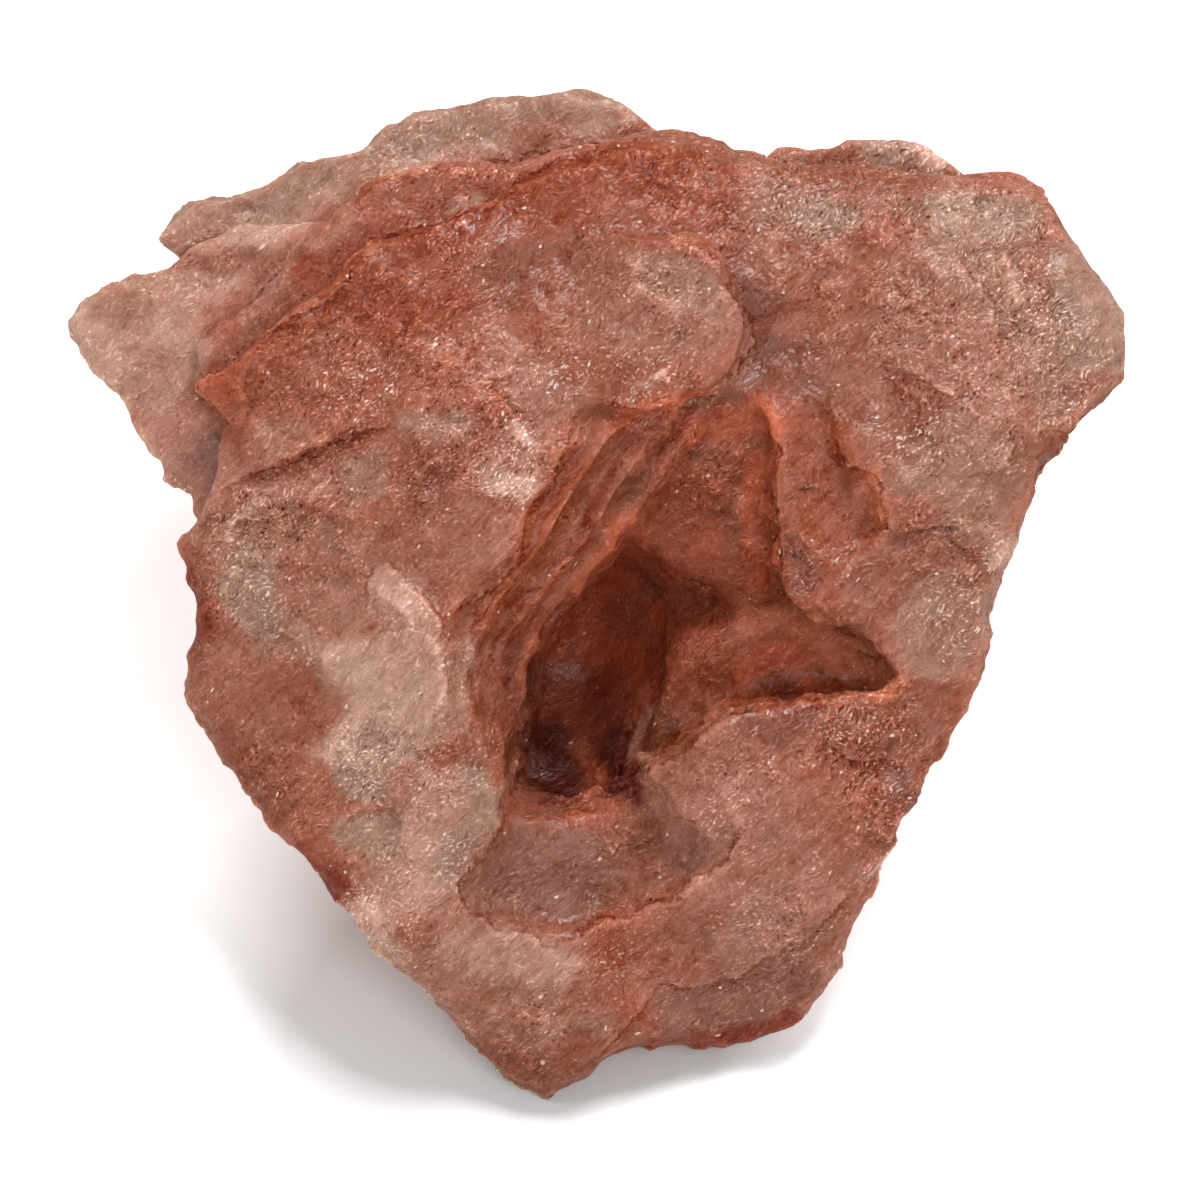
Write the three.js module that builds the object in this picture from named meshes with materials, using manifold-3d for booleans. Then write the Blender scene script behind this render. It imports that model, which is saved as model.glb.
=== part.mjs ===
// A hand-sized piece of rough morganite, the pink variety of beryl, broken from a massive crystal.
// It grew as one piece, so it is one solid: a body with a broad worn face, thin slabs split off
// behind it, a tongue standing proud of it, and a deep hollow broken into it in steps.
//
// Millimetres. The broad face is laid out level, x to its right, y up it and z out of it. The whole
// is then leaned back and set down on the flat break underneath, with z up and the origin at the
// bottom centre.
import * as THREE from "three";
import { ImprovedNoise } from "three/addons/math/ImprovedNoise.js";
import { mergeVertices } from "three/addons/utils/BufferGeometryUtils.js";
import Module from "manifold-3d";

const wasm = await Module();
wasm.setup();

// Driving dimensions.
const LEAN = 30; // degrees between the broad face and the level ground
const REST_DROP = 17.3; // from the middle of the broad face straight down to the rest plane
const SPACING = 1.66; // between the vertices round an outline, where nothing else is said
const BLEND = 3.6; // how far round it a spot height of the broad face counts
const COARSE = { size: 8, depth: 1.1 }; // the swell of a fracture face
const FINE = { size: 2.9, depth: 0.5 }; // the chips on it

const { degToRad, smoothstep } = THREE.MathUtils;
const lean = new THREE.Matrix4().makeRotationX(degToRad(LEAN));
const noise = new ImprovedNoise();

// Spot heights of the broad face, [x, y, z], as on a map.
const SPOTS = [
  // left shoulder, down to the bottom point
  [-22, 4, 0.5], [-22, -4, 0], [-18, 0, 2.4], [-18, -8, 1.4], [-13, -3, 4.6], [-9, -3, 6], [-13, -12, 2.6],
  [-8.5, -11, 4.2], [-7, -17, 3.2], [-18, 7, 3], [-12, 4, 4.6], [-6, 4, 6.2], [-4, -23, 0.4], [-2, -27, -2],
  // the rim under the hollow and the slope below it
  [0, -20, 1.6], [-1, -15, 2.6], [4, -11, 3.8], [9, -8, 4.4], [10, -14, 2.8], [5, -18, 1.4], [8, -23, -3],
  [13, -19, -1.5], [15, -12, 1.5], [17, -6, 2.2], [20.5, -3, 0],
  // right lobe
  [17, 2, 3.6], [21, 4, 2.2], [15, 9, 4.4], [20, 11, 5], [25, 11, 2.6], [28, 15, 0.5], [23, 17, 3.6],
  [26, 20, 0.5], [17, 18, 3.4], [21, 22, 1.2], [14, 23, 0.5],
  // the valley beside the tongue, and the crest above it
  [11, 16, 2.4], [9.5, 13, 2.4], [8, 20, 2], [3, 24, 1.4], [0, 20, 3.2], [-5, 22.5, 1.8], [4, 15, 3.6],
  // under the tongue and the layers to its left
  [-2, 13, 5.2], [-8, 9, 5], [-8, 16, 4], [-14, 12, 3.6], [-13, 18, 2], [-19, 12, 1.6], [-22, 11, 0.2],
];

// The height of the broad face at (x, y): the spot heights, each counting for less the farther off it is.
function face(x, y) {
  let sum = 0;
  let total = 0;
  for (const [spotX, spotY, height] of SPOTS) {
    const weight = Math.exp(-((x - spotX) ** 2 + (y - spotY) ** 2) / (2 * BLEND ** 2)) + 1e-9;
    sum += weight * height;
    total += weight;
  }
  return sum / total;
}

// The height at which the rest plane lies under (x, y).
function restPlane(y) {
  const a = degToRad(LEAN);
  return -(REST_DROP + y * Math.sin(a)) / Math.cos(a);
}

// Moves a point of a fracture face a little, by a swell and by chips, out of the face and along it.
function roughen(p, out, along) {
  const from = p.clone();
  for (const { size, depth } of [COARSE, FINE]) {
    const at = from.clone().divideScalar(size);
    p.x += along * depth * noise.noise(at.x + 3.1, at.y, at.z);
    p.y += along * depth * noise.noise(at.x, at.y + 7.7, at.z);
    p.z += out * depth * noise.noise(at.x, at.y, at.z + 5.3);
  }
}

// One lump of stone. outline bounds it in plan, and top(x, y) and base(x, y) in height. It is widest
// drop below its top. edge and under are the shares of its width that round off over and under that
// widest line. The vertices of an octahedron's faces become rings of even spacing round its middle.
function lump({ outline, top, base, drop = 1.2, edge = 0.1, under = 0.3, spacing = SPACING, rough = 0.4 }) {
  const points = outline.map(([x, y]) => new THREE.Vector2(x, y));
  if (THREE.ShapeUtils.area(points) < 0) points.reverse();
  const middle = points.reduce((sum, p) => sum.add(p), new THREE.Vector2()).divideScalar(points.length);
  const rim = new THREE.CatmullRomCurve3(
    points.map((p) => new THREE.Vector3(p.x, p.y, 0)), true, "catmullrom", 0.35,
  );
  const rings = Math.max(4, Math.round(rim.getLength() / (4 * spacing)));
  const geometry = mergeVertices(bare(new THREE.OctahedronGeometry(1, rings - 1)), 1e-4);
  const { position } = geometry.attributes;
  const p = new THREE.Vector3();
  for (let i = 0; i < position.count; i++) {
    p.fromBufferAttribute(position, i);
    p.divideScalar(Math.abs(p.x) + Math.abs(p.y) + Math.abs(p.z));
    const [reach, level] = profile(1 - p.z, edge, under);
    rim.getPointAt(around(p.x, p.y), p);
    const x = middle.x + (p.x - middle.x) * reach;
    const y = middle.y + (p.y - middle.y) * reach;
    const waist = top(x, y) - drop;
    p.set(x, y, level > 0 ? waist + level * drop : waist + level * (waist - base(x, y)));
    roughen(p, 1, rough);
    position.setXYZ(i, p.x, p.y, p.z);
  }
  return solidOf(geometry.applyMatrix4(lean));
}

// How far round a square ring standing on its corner (x, y) lies, from 0 to 1.
function around(x, y) {
  const size = Math.abs(x) + Math.abs(y);
  if (size < 1e-6) return 0;
  const turn = y >= 0 ? (1 - x / size) / 4 : (3 + x / size) / 4;
  return Math.min(turn, 1 - 1e-9);
}

// How far out from the middle, and how high between base (-1), rim (0) and top (1), a lump's
// surface runs as turn goes from 0 at the top pole to 2 at the bottom one. It rounds over the rim
// and draws in straight under it.
function profile(turn, edge, under) {
  const FLAT = 0.78; // share of each half that is spent on its flat part
  const q = turn <= 1 ? turn : 2 - turn;
  const [share, level] = turn <= 1 ? [edge, 1] : [under, -1];
  if (q < FLAT) return [((1 - share) * q) / FLAT, level];
  const t = (1 - q) / (1 - FLAT);
  if (level < 0) return [1 - share * t, -t];
  return [1 - share + share * Math.cos((t * Math.PI) / 2), Math.sin((t * Math.PI) / 2)];
}

// A geometry with every vertex moved by roughen().
function broken(geometry, amount) {
  const { position } = geometry.attributes;
  const p = new THREE.Vector3();
  for (let i = 0; i < position.count; i++) {
    p.fromBufferAttribute(position, i);
    roughen(p, amount, amount);
    position.setXYZ(i, p.x, p.y, p.z);
  }
  return geometry;
}

// A geometry with its places only.
function bare(geometry) {
  return geometry.deleteAttribute("normal").deleteAttribute("uv");
}

// A closed geometry as a manifold-3d solid.
function solidOf(geometry) {
  return new wasm.Manifold(new wasm.Mesh({
    numProp: 3,
    vertProperties: new Float32Array(geometry.attributes.position.array),
    triVerts: new Uint32Array(geometry.index.array),
  }));
}

// A manifold-3d solid as a geometry.
function geometryOf(solid) {
  const { vertProperties, triVerts } = solid.getMesh();
  return new THREE.BufferGeometry()
    .setAttribute("position", new THREE.BufferAttribute(vertProperties, 3))
    .setIndex(new THREE.BufferAttribute(triVerts, 1));
}

// The body under the broad face. Its edge runs out to a point at the bottom, clear of the ground.
const body = lump({
  outline: [
    [-22.2, 5], [-23, 4], [-23.1, 2], [-22.8, -1.8], [-23.2, -5.4], [-22.2, -7.2], [-20.4, -10],
    [-17, -14.2], [-13, -18.5], [-9.5, -22.2], [-7.6, -24.7], [-5.6, -27.3], [-3.3, -28.2],
    [-1.1, -26.7], [0.5, -25.8], [3, -25.1], [9, -24.6], [11.2, -24], [12.6, -22.4], [12.9, -20.9],
    [15, -17.3], [15.2, -15.5], [16.6, -14], [17, -12], [18.2, -10.8], [17.9, -9.8], [19.5, -8.1],
    [20.8, -5.7], [21.6, -3.5], [21.4, -0.8], [22.2, 1.5], [23.8, 5], [24.7, 7.8], [26.4, 9.5],
    [28.5, 11.5], [29.3, 13], [29.1, 15.5], [28.6, 17.5], [26.5, 20.5], [24.8, 22.6], [23, 24],
    [20, 23.9], [14, 24.2], [9.5, 24.6], [4, 25.2], [-4, 23.4], [-11, 19.6], [-17, 14.6], [-21, 9.6],
  ],
  top: face, base: (x, y) => Math.max(-10, restPlane(y) + 2.2 - 0.2 * (x + 5)), drop: 2.4, edge: 0.07,
  under: 0.36, spacing: 2,
});

// The core under it, thick at the back, and the fractures that trim it: each passes through at and
// faces heading degrees round from x, and dip degrees down.
const core = lump({
  outline: [
    [-23, 10], [-22, 2], [-22.4, -5], [-18, -12], [-12, -18.6], [-7, -22], [0, -22.6], [7, -23.6],
    [11.6, -20.6], [15.4, -14], [19.4, -6], [21, 2], [23.4, 7], [27, 13], [26, 18], [22, 22.6], [14, 23.4],
    [4, 24], [-6, 23], [-13, 20], [-19, 16],
  ],
  top: () => -4, base: () => -40, drop: 4, edge: 0.06, under: 0.2, spacing: 3, rough: 1.4,
});
const FRACTURES = [
  { at: [25, 8, -5], heading: 4, dip: 27 },
  { at: [19.6, -8, -4], heading: -36, dip: 22 },
  { at: [21, 20, -6], heading: 52, dip: 24 },
  { at: [3, 22.6, -10], heading: 96, dip: 29 },
  { at: [-16, 15, -11], heading: 138, dip: 30 },
  { at: [-22, 0, -5], heading: 184, dip: 28 },
  { at: [-14, -17, -3], heading: 221, dip: 25 },
];
const FRACTURE = { width: 64, deep: 16, spacing: 2.3 };
const fractures = FRACTURES.map(({ at, heading, dip }) => {
  const { width, deep, spacing } = FRACTURE;
  const steps = Math.round(width / spacing);
  const slab = bare(new THREE.BoxGeometry(deep, width, width, 1, steps, steps));
  slab.translate(deep / 2, 0, 0);
  slab.applyMatrix4(new THREE.Matrix4().makeRotationY(degToRad(dip)));
  slab.applyMatrix4(new THREE.Matrix4().makeRotationZ(degToRad(heading)));
  slab.translate(...at);
  return solidOf(broken(mergeVertices(slab, 1e-3), 1.5).applyMatrix4(lean));
});

// The thin slabs that split off behind it, and the corner that stands behind the crest.

const rearSheet = lump({
  outline: [
    [-25, 20.3], [-24.4, 19.2], [-19, 15], [-10, 9], [-2, 9], [5, 13], [8.5, 21], [5, 26], [1.3, 28.2],
    [-2, 28.6], [-6, 28.2], [-10, 27.8], [-11.4, 26.8], [-14, 25.3], [-15.6, 25.5], [-17.8, 24.8],
    [-20.6, 23], [-23.2, 21.8],
  ],
  top: (x, y) => -6.2 - 0.1 * (y - 22) + 0.03 * x, base: () => -11, drop: 1.3, edge: 0.06, under: 0.2,
  spacing: 1.7, rough: 0.6,
});

const leftSlab = lump({
  outline: [
    [-30.2, 15.8], [-29.3, 14.2], [-28.5, 12], [-26.8, 11.2], [-26.5, 9.4], [-24.6, 7.6], [-22.8, 6.3],
    [-22.2, 4.6], [-18, -1], [-10, 0], [-6, 7], [-9, 17], [-15, 20.5], [-20, 20.9], [-22.5, 20],
    [-25, 18.6], [-26.2, 18.7], [-27.6, 17.5],
  ],
  top: (x, y) => -4.2 + 0.28 * (x + 27) - 0.06 * (y - 12), base: () => -9, drop: 1.3, edge: 0.07,
  under: 0.24,
});

const rearCorner = lump({
  outline: [
    [7, 19], [14, 12], [23, 14], [24.5, 19], [22.4, 22.4], [20.5, 24.2], [19.2, 25], [17.5, 25.7],
    [14.7, 25.9], [12, 25.3], [10.4, 25.5], [8.6, 24.4],
  ],
  top: (x, y) => -2.4 - 0.15 * (y - 22), base: () => -9.5, drop: 1, edge: 0.06, under: 0.34,
});

// The layers that lie on the left of the broad face, each edge short of the one behind it.

const redLayer = lump({
  outline: [
    [-20, 16.1], [-21.5, 15.2], [-22.8, 13.4], [-22.4, 11], [-19, 6], [-10, 6], [0, 12], [8, 18],
    [9.5, 24.5], [7.5, 25.1], [5, 26.1], [3, 26.4], [1, 25.7], [-3, 25.3], [-5, 24.5], [-9, 24.3],
    [-12, 23.2], [-13.5, 22.6], [-15, 21.2], [-16.6, 20], [-16.8, 19], [-18.5, 17.6],
  ],
  top: (x, y) => face(x, y) - 2 + 0.12 * (y - 16) - 2 * smoothstep(x, 4, 10), base: () => -7, spacing: 1.7,
});

const frontLayer = lump({
  outline: [
    [-22.6, 11.7], [-21, 10.2], [-19.6, 9], [-15, 9.4], [-9, 10], [-3, 10.4], [2, 12], [8, 15], [13, 18],
    [15, 23.6], [9.5, 24.6], [7.5, 25], [5, 25.8], [2, 25.4], [-2, 24.3], [-4.2, 23.6], [-6.4, 21.8],
    [-9.9, 20.6], [-13, 19.4], [-16, 17], [-18.3, 15.2], [-20.8, 13.2],
  ],
  top: (x, y) => face(x, y) + 0.5 - 2.5 * smoothstep(x, 1, 11), base: () => -5, spacing: 1.7,
});

// The tongue stands a little proud at its left end, sinks into the face, and then rises to its tip.
const tongueLift = (x) => -0.4 + 1.1 * smoothstep(-x, 8, 14) + 3.9 * smoothstep(x, -5, 8);
const tongue = lump({
  outline: [
    [-19.4, 12.2], [-20.2, 7.3], [-18, 7.5], [-15.6, 8.6], [-12.5, 9.5], [-9, 9.8], [-5, 9.8],
    [-2.2, 9.6], [-1, 10.9], [1.5, 10.2], [4, 10.7], [7.3, 12.4], [8.4, 14.8],
    [7.5, 16.9], [6.8, 18.5], [5, 19.8], [1, 20.4], [-3, 20.5], [-8, 19.3], [-13, 17.2], [-17, 14.8],
  ],
  top: (x, y) => face(x, y) + tongueLift(x), base: () => -3, edge: 0.05, under: 0.12,
});

// A pale flap lies on the body at the left of the hollow, highest along its right edge.
const flap = lump({
  outline: [
    [-12.8, 0.3], [-12.5, 1.1], [-11.8, 1.9], [-11, 1.6], [-10, 0.6], [-9, -0.5], [-8.5, -1.4],
    [-8.3, -3], [-8.3, -5], [-8.8, -6.3], [-10, -7.6], [-12, -7.4], [-13.8, -5.6], [-13.8, -2.6],
    [-12.8, -1],
  ],
  top: (x, y) => face(x, y) + 0.8 + 0.2 * (x + 8.5), base: () => 0, drop: 0.7, edge: 0.04, under: 0.1,
});

// What is broken out of the body before the tongue is laid over it. A bite is bounded by its outline
// in plan and reaches down to floor(x, y).
function bite(outline, floor, options) {
  return lump({ outline, top: () => 20, base: floor, drop: 14, edge: 0.01, under: 0.16, ...options });
}

// The hollow's left wall goes down in slats that run up it and then slant off to the right. Each rises
// towards its free edge, and the last one drops to the sloping floor of the hollow.
const RIM = [
  [0.6, -11.2], [2.4, -9.3], [6.5, -6.8], [8.6, -5.9], [14.5, -5.3], [17, -4.5], [14.6, -2.2], [12.6, -0.8],
  [10.2, -0.2], [9.9, 3], [10, 5], [9.6, 7], [9.9, 9.2], [9.4, 11.6], [6, 12.6],
];
const SLATS = [
  {
    level: 4, from: -8.4,
    edge: [
      [3, 12.4], [0, 12], [-1.1, 10.8], [-2.2, 8], [-4.1, 4.8], [-4.3, 3], [-6.4, 1], [-8.5, -0.9],
      [-8.4, -3], [-8.2, -5.4], [-7.2, -7], [-6.6, -9], [-5.6, -11.6], [-3.9, -12.3],
    ],
  },
  {
    level: 2.2, from: -7.1,
    edge: [
      [3.4, 11.8], [1.2, 10.2], [-1.2, 6.4], [-3.4, 2.8], [-5.8, -0.2], [-7, -2.2], [-7.1, -6],
      [-6.6, -8.4], [-5.4, -11.4], [-3.8, -12],
    ],
  },
  {
    level: 0.4, from: -5.9,
    edge: [
      [4.2, 11.4], [2.6, 9], [0, 4.4], [-2.2, 1.6], [-4.8, -1.2], [-5.9, -3.4], [-5.8, -7], [-5.4, -9],
      [-5, -11.2], [-3.6, -11.8],
    ],
  },
];
const SLAT_RISE = 0.36; // up each slat, per millimetre towards its free edge
const slantTo = (y) => 0.72 * Math.max(0, y + 2); // how far right the slats have slanted at y
const slats = SLATS.map(({ level, from, edge }) => bite(
  [...RIM, ...edge],
  (x, y) => level + SLAT_RISE * (x - slantTo(y) - from) + 0.06 * (y + 2),
  { under: 0.06 },
));
const hollowFloor = bite(
  [
    ...RIM, [5.4, 10.6], [3.8, 7.6], [1.9, 4.3], [0.5, 2.3], [-1, 0.4], [-2.5, -1.5], [-3.8, -3.4],
    [-3.8, -4.6], [-4, -6.4], [-4.6, -7.8], [-5, -9.4], [-5, -11], [-3.6, -11.6],
  ],
  (x, y) => -3.2 + 0.1 * x + 0.42 * y, { under: 0.06 },
);

// The bare shelf at its right.
const rightShelf = bite(
  [
    [8, 13], [8, 9], [8.2, 5], [8.4, 1], [10.4, -0.4], [12.6, -1], [12.4, 0.8], [14, 1.4], [15, 2.4],
    [15.7, 4.2], [15.6, 6.4], [14, 7.2], [13, 8.6], [13.2, 10.4], [12.4, 12], [10.4, 13],
  ],
  (x, y) => 2.8 + 0.05 * (y - 5) - 0.06 * (x - 12), { under: 0.1 },
);

// The pit at its foot, the bright alcove beside that, and the step in the rim below them.
const pit = bite(
  [
    [-5.8, -12], [-3.8, -12.6], [-1.8, -12.4], [0.6, -11.9], [2.2, -10.6], [2.9, -9.1], [3.3, -7.2],
    [4.2, -4.6], [5.2, -1.6], [5.4, 0.8], [4.6, 2.4], [3.2, 3.6], [1.8, 4.6], [0, 2.6], [-1.6, 0.6],
    [-3, -1.2], [-4.3, -3.3], [-4.3, -4.6], [-4.5, -6.4], [-5.1, -7.8], [-5.5, -9.6],
  ],
  (x, y) => Math.max(-14, restPlane(y) + 4) + 1.4 * Math.max(0, x + 0.5) + 0.35 * Math.max(0, y + 4),
  { under: 0.16, rough: 0.3 },
);
const alcove = bite(
  [
    [1, -8], [2.6, -9.1], [6.5, -6.8], [8.6, -5.9], [14.5, -5.3], [16.8, -4.5], [14.4, -2.5], [12, -1.4],
    [9.5, -0.4], [6, 1], [3, 2.6], [1, 0],
  ],
  (x, y) => -5.5 + 0.4 * (x - 5) - 0.55 * y, { under: 0.2 },
);
const rimStep = bite(
  [
    [-8, -16.4], [-5.6, -18], [-3.2, -18.4], [-2.4, -19], [0, -17.7], [4, -16.5], [6.5, -15],
    [7.2, -13.4], [4.6, -11.4], [2.4, -9.2], [0, -11.2], [-4, -12], [-5.6, -11.8], [-6, -14],
  ],
  (x, y) => face(x, y) - 1.6 - 0.1 * (y + 17), { under: 0.08 },
);

// Everything together, cut off flat where it rests.
const join = (solids) => solids.reduce((all, solid) => all.add(solid));
const trimmed = core.subtract(join(fractures));
const split = join([body, trimmed, rearSheet, leftSlab, rearCorner, redLayer, frontLayer, flap]);
const hollowed = split.subtract(join([...slats, hollowFloor, rightShelf, pit, alcove, rimStep]));
const overRestPlane = solidOf(
  mergeVertices(bare(new THREE.BoxGeometry(200, 200, 100)), 1e-4).translate(0, 0, 50 - REST_DROP),
);
const pieces = hollowed.add(tongue).subtract(pit).intersect(overRestPlane).decompose();
// Loose chips and sealed pockets between the lumps come out of decompose() as bodies of their own.
const [whole] = pieces.sort((a, b) => b.volume() - a.volume());

const geometry = geometryOf(whole);
geometry.computeBoundingBox();
const { min, max } = geometry.boundingBox;
geometry.translate(-(min.x + max.x) / 2, -(min.y + max.y) / 2, -min.z);

const morganite = new THREE.Mesh(
  geometry,
  new THREE.MeshStandardMaterial({ color: "#9d6654", roughness: 0.4, metalness: 0 }),
);
morganite.name = "morganite";

const group = new THREE.Group();
group.add(morganite);
export default group;
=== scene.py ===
# %% [markdown]
# # A rough morganite
#
# The real object is a palm-sized lump of pink beryl, broken out of its pocket and never cut. It is cloudy,
# waxy where a face is fresh and crumbly along the ledges, with a deep hollow in its front.
# Its solid comes from the frame, so nothing here sets its size: this file only breaks up the solid's
# skin, tints it and lights it. All lengths are in metres, and the small ones are written in millimetres
# and multiplied by MM.

# %% Load the frame
import math

import bpy
import numpy as np
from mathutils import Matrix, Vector, kdtree, noise


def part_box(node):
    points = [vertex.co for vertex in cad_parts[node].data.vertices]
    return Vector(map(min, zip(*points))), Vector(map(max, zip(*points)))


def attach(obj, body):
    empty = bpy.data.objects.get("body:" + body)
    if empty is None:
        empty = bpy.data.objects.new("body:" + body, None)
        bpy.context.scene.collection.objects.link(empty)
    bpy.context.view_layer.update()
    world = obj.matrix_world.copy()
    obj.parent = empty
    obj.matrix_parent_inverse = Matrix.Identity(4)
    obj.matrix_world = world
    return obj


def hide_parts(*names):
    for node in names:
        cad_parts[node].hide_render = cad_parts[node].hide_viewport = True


MM = 0.001
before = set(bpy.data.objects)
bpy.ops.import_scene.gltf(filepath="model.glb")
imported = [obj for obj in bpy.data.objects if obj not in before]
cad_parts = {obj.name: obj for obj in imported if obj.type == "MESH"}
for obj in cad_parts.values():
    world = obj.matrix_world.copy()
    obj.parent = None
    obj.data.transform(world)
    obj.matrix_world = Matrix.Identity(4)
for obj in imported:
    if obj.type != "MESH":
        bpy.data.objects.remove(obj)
bpy.ops.object.select_all(action="DESELECT")
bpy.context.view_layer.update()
low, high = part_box("morganite")
print("the solid is", [round(side / MM, 2) for side in high - low], "mm")

# %% [markdown]
# ## The face and its own directions
#
# The stone leans back by thirty degrees, so what shows is one broken face. It is easier to say where a ledge
# or a stain lies on that face (across, up, out) than in the room's x, y and z.
# One place on the solid's box and three directions are enough to go from one to the other.

# %% The face frame
LEAN = math.radians(30)
face_middle = low + Vector((30.22, 22.85, 17.30)) * MM
across = Vector((1, 0, 0))
upward = Vector((0, math.cos(LEAN), math.sin(LEAN)))
outward = Vector((0, -math.sin(LEAN), math.cos(LEAN)))
face_axes = np.array([across, upward, outward])


def on_face(points):
    """Room points in metres, as millimetres across, up and out of the broken face."""
    return (points - np.array(face_middle)) @ face_axes.T / MM


print("middle of the face at", [round(v / MM, 2) for v in face_middle], "mm")

# %% [markdown]
# ## The camera
#
# It looks at the broken face from sixty degrees above the table, square on from the front. A long lens
# far back keeps the stone's sides nearly parallel, as they are in a close study of a small thing.

# %% Camera
DISTANCE = 0.5
PICTURE_WIDTH = 66.67 * MM
ELEVATION = math.radians(60)
bpy.ops.object.camera_add(
    location=face_middle + DISTANCE * Vector((0, -math.cos(ELEVATION), math.sin(ELEVATION))),
    rotation=(math.pi / 2 - ELEVATION, 0, 0),
)
camera = bpy.context.object
camera.data.sensor_width = 36
camera.data.lens = 36 * DISTANCE / PICTURE_WIDTH
camera.data.clip_start = 0.01
bpy.context.scene.camera = camera
print("lens", round(camera.data.lens), "mm")

# %% [markdown]
# ## The skin of the stone
#
# The solid has flat facets a millimetre and a half wide, which is good for weighing it but too plain to look
# at. By hand this would be a remesh and then a day of sculpting. Here the copy is remeshed into small even
# squares, relaxed so that the facets go, and then broken up again at smaller and smaller sizes.

# %% Copy and remesh
SKIN = 0.25 * MM
MOST_TRIANGLES = 196000

stone = bpy.data.objects.new("rough_morganite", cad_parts["morganite"].data.copy())
bpy.context.scene.collection.objects.link(stone)
bpy.context.view_layer.objects.active = stone
stone.select_set(True)
stone.data.materials.clear()
bpy.ops.object.mode_set(mode="EDIT")
bpy.ops.mesh.select_all(action="SELECT")
bpy.ops.mesh.remove_doubles(threshold=0.001 * MM)
bpy.ops.object.mode_set(mode="OBJECT")


def apply_modifier(kind, **settings):
    """Adds one modifier to the stone and applies it."""
    modifier = stone.modifiers.new(kind.title(), kind)
    for name, value in settings.items():
        setattr(modifier, name, value)
    bpy.ops.object.modifier_apply(modifier=modifier.name)


apply_modifier("REMESH", mode="VOXEL", voxel_size=SKIN)
apply_modifier("SMOOTH", factor=0.5, iterations=3)
print("the skin has", len(stone.data.polygons), "squares")


# %% Read and move the skin
def skin_points():
    """The skin's vertices and normals, as two arrays in metres."""
    count = len(stone.data.vertices)
    points = np.zeros(count * 3)
    normals = np.zeros(count * 3)
    stone.data.vertices.foreach_get("co", points)
    stone.data.vertex_normals.foreach_get("vector", normals)
    return points.reshape(-1, 3), normals.reshape(-1, 3)


def move_skin(points):
    """Puts the vertices at these points, and never outside the solid's box."""
    inside = np.clip(points, np.array(low), np.array(high))
    stone.data.vertices.foreach_set("co", inside.ravel())
    stone.data.update()


print("the skin measures", [round(v / MM, 2) for v in np.ptp(skin_points()[0], axis=0).tolist()], "mm")

# %% Soft noise
FADE, FINER = 1.0, 2.1


def cloud(places, size, octaves=3, seed=0):
    """Soft noise between about -1 and 1, with lumps about size wide. Lengths in millimetres."""
    shift = Vector((seed * 17.3, seed * 5.1, seed * 11.7))
    scaled = (places / size).tolist()
    return np.array([noise.fractal(Vector(p) + shift, FADE, FINER, octaves) for p in scaled])


print("each octave is", FINER, "times finer than the one before")

# %% Neighbours and patches
edges = np.zeros(len(stone.data.edges) * 2, dtype=int)
stone.data.edges.foreach_get("vertices", edges)
edges = edges.reshape(-1, 2)
neighbours = np.bincount(edges.ravel())


def spread(values):
    """Each vertex takes the mean of its neighbours' values."""
    total = np.zeros(values.shape)
    for column in range(values.shape[1]):
        total[:, column] = np.bincount(
            edges[:, 0], values[edges[:, 1], column], len(values)
        ) + np.bincount(edges[:, 1], values[edges[:, 0], column], len(values))
    return total / neighbours[:, None]


def patches(places, rows):
    """The sum of soft round patches on the face: across, up, reach in millimetres, amount."""
    total = np.zeros(len(places))
    for x, y, reach, amount in rows:
        away = np.hypot(places[:, 0] - x, places[:, 1] - y) / reach
        total += amount * np.exp(-(away**2))
    return total


print("the skin has", len(edges), "edges")

# %% [markdown]
# ## Worn and torn edges
#
# Inside the hollow the broken edges have been etched round, and round its mouth they are ragged. A smooth
# brush and a grab brush would do this by hand. Here a worn place eases its vertices towards their
# neighbours, and a torn one shifts them sideways along the face by a noise, so that straight edges turn
# jagged, because lists of places are easier to change later than brush strokes are.

# %% Worn and torn places
WORN_TURNS = 60
PULL = 0.7
COARSE_JAG, FINE_JAG = 1.8, 0.7
COARSE_SHIFT, FINE_SHIFT = 0.5, 0.25
# across, up, reach in millimetres, amount
WORN = [
    (-4, 0, 4, 0.12), (0, 5, 4, 0.12), (-6.5, -6, 3, 0.08), (6, 0.5, 4, 0.3), (4, -4, 3, 0.7),
    (11, -3, 3.5, 0.5), (13, -1.5, 2.6, 0.8), (9, 1, 2.5, 0.5), (12.5, 5, 3, 0.2), (0, -13, 4, 0.5),
    (-5, -14.5, 3.5, 0.5), (1, -15, 3.5, 0.6), (8, -14, 3, 0.6), (4, -18, 3, 0.4),
]
TORN = [
    (9.5, 5, 3, 1.0), (4, 9, 3, 0.7), (-6, -5, 3, 0.4), (8, -6, 4, 0.8), (0, -11, 4, 0.8),
    (15, -3, 3, 1.0), (13, 8, 3, 0.8),
]
points, normals = skin_points()
worn = np.clip(patches(on_face(points), WORN), 0, 1)[:, None]
for _ in range(WORN_TURNS):
    points = points + PULL * worn * (spread(points) - points)
places = on_face(points)
torn = np.clip(patches(places, TORN), 0, 1)
shifts = []
for direction, first in ((across, 31), (upward, 33)):
    coarse = COARSE_SHIFT * cloud(places, COARSE_JAG, seed=first)
    shifts.append(torn * (coarse + FINE_SHIFT * cloud(places, FINE_JAG, seed=first + 1)))
    points = points + np.outer(shifts[-1] * MM, direction)
move_skin(points)
print("torn edges wander up to", round(float(np.hypot(*shifts).max()), 2), "mm sideways")

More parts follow.
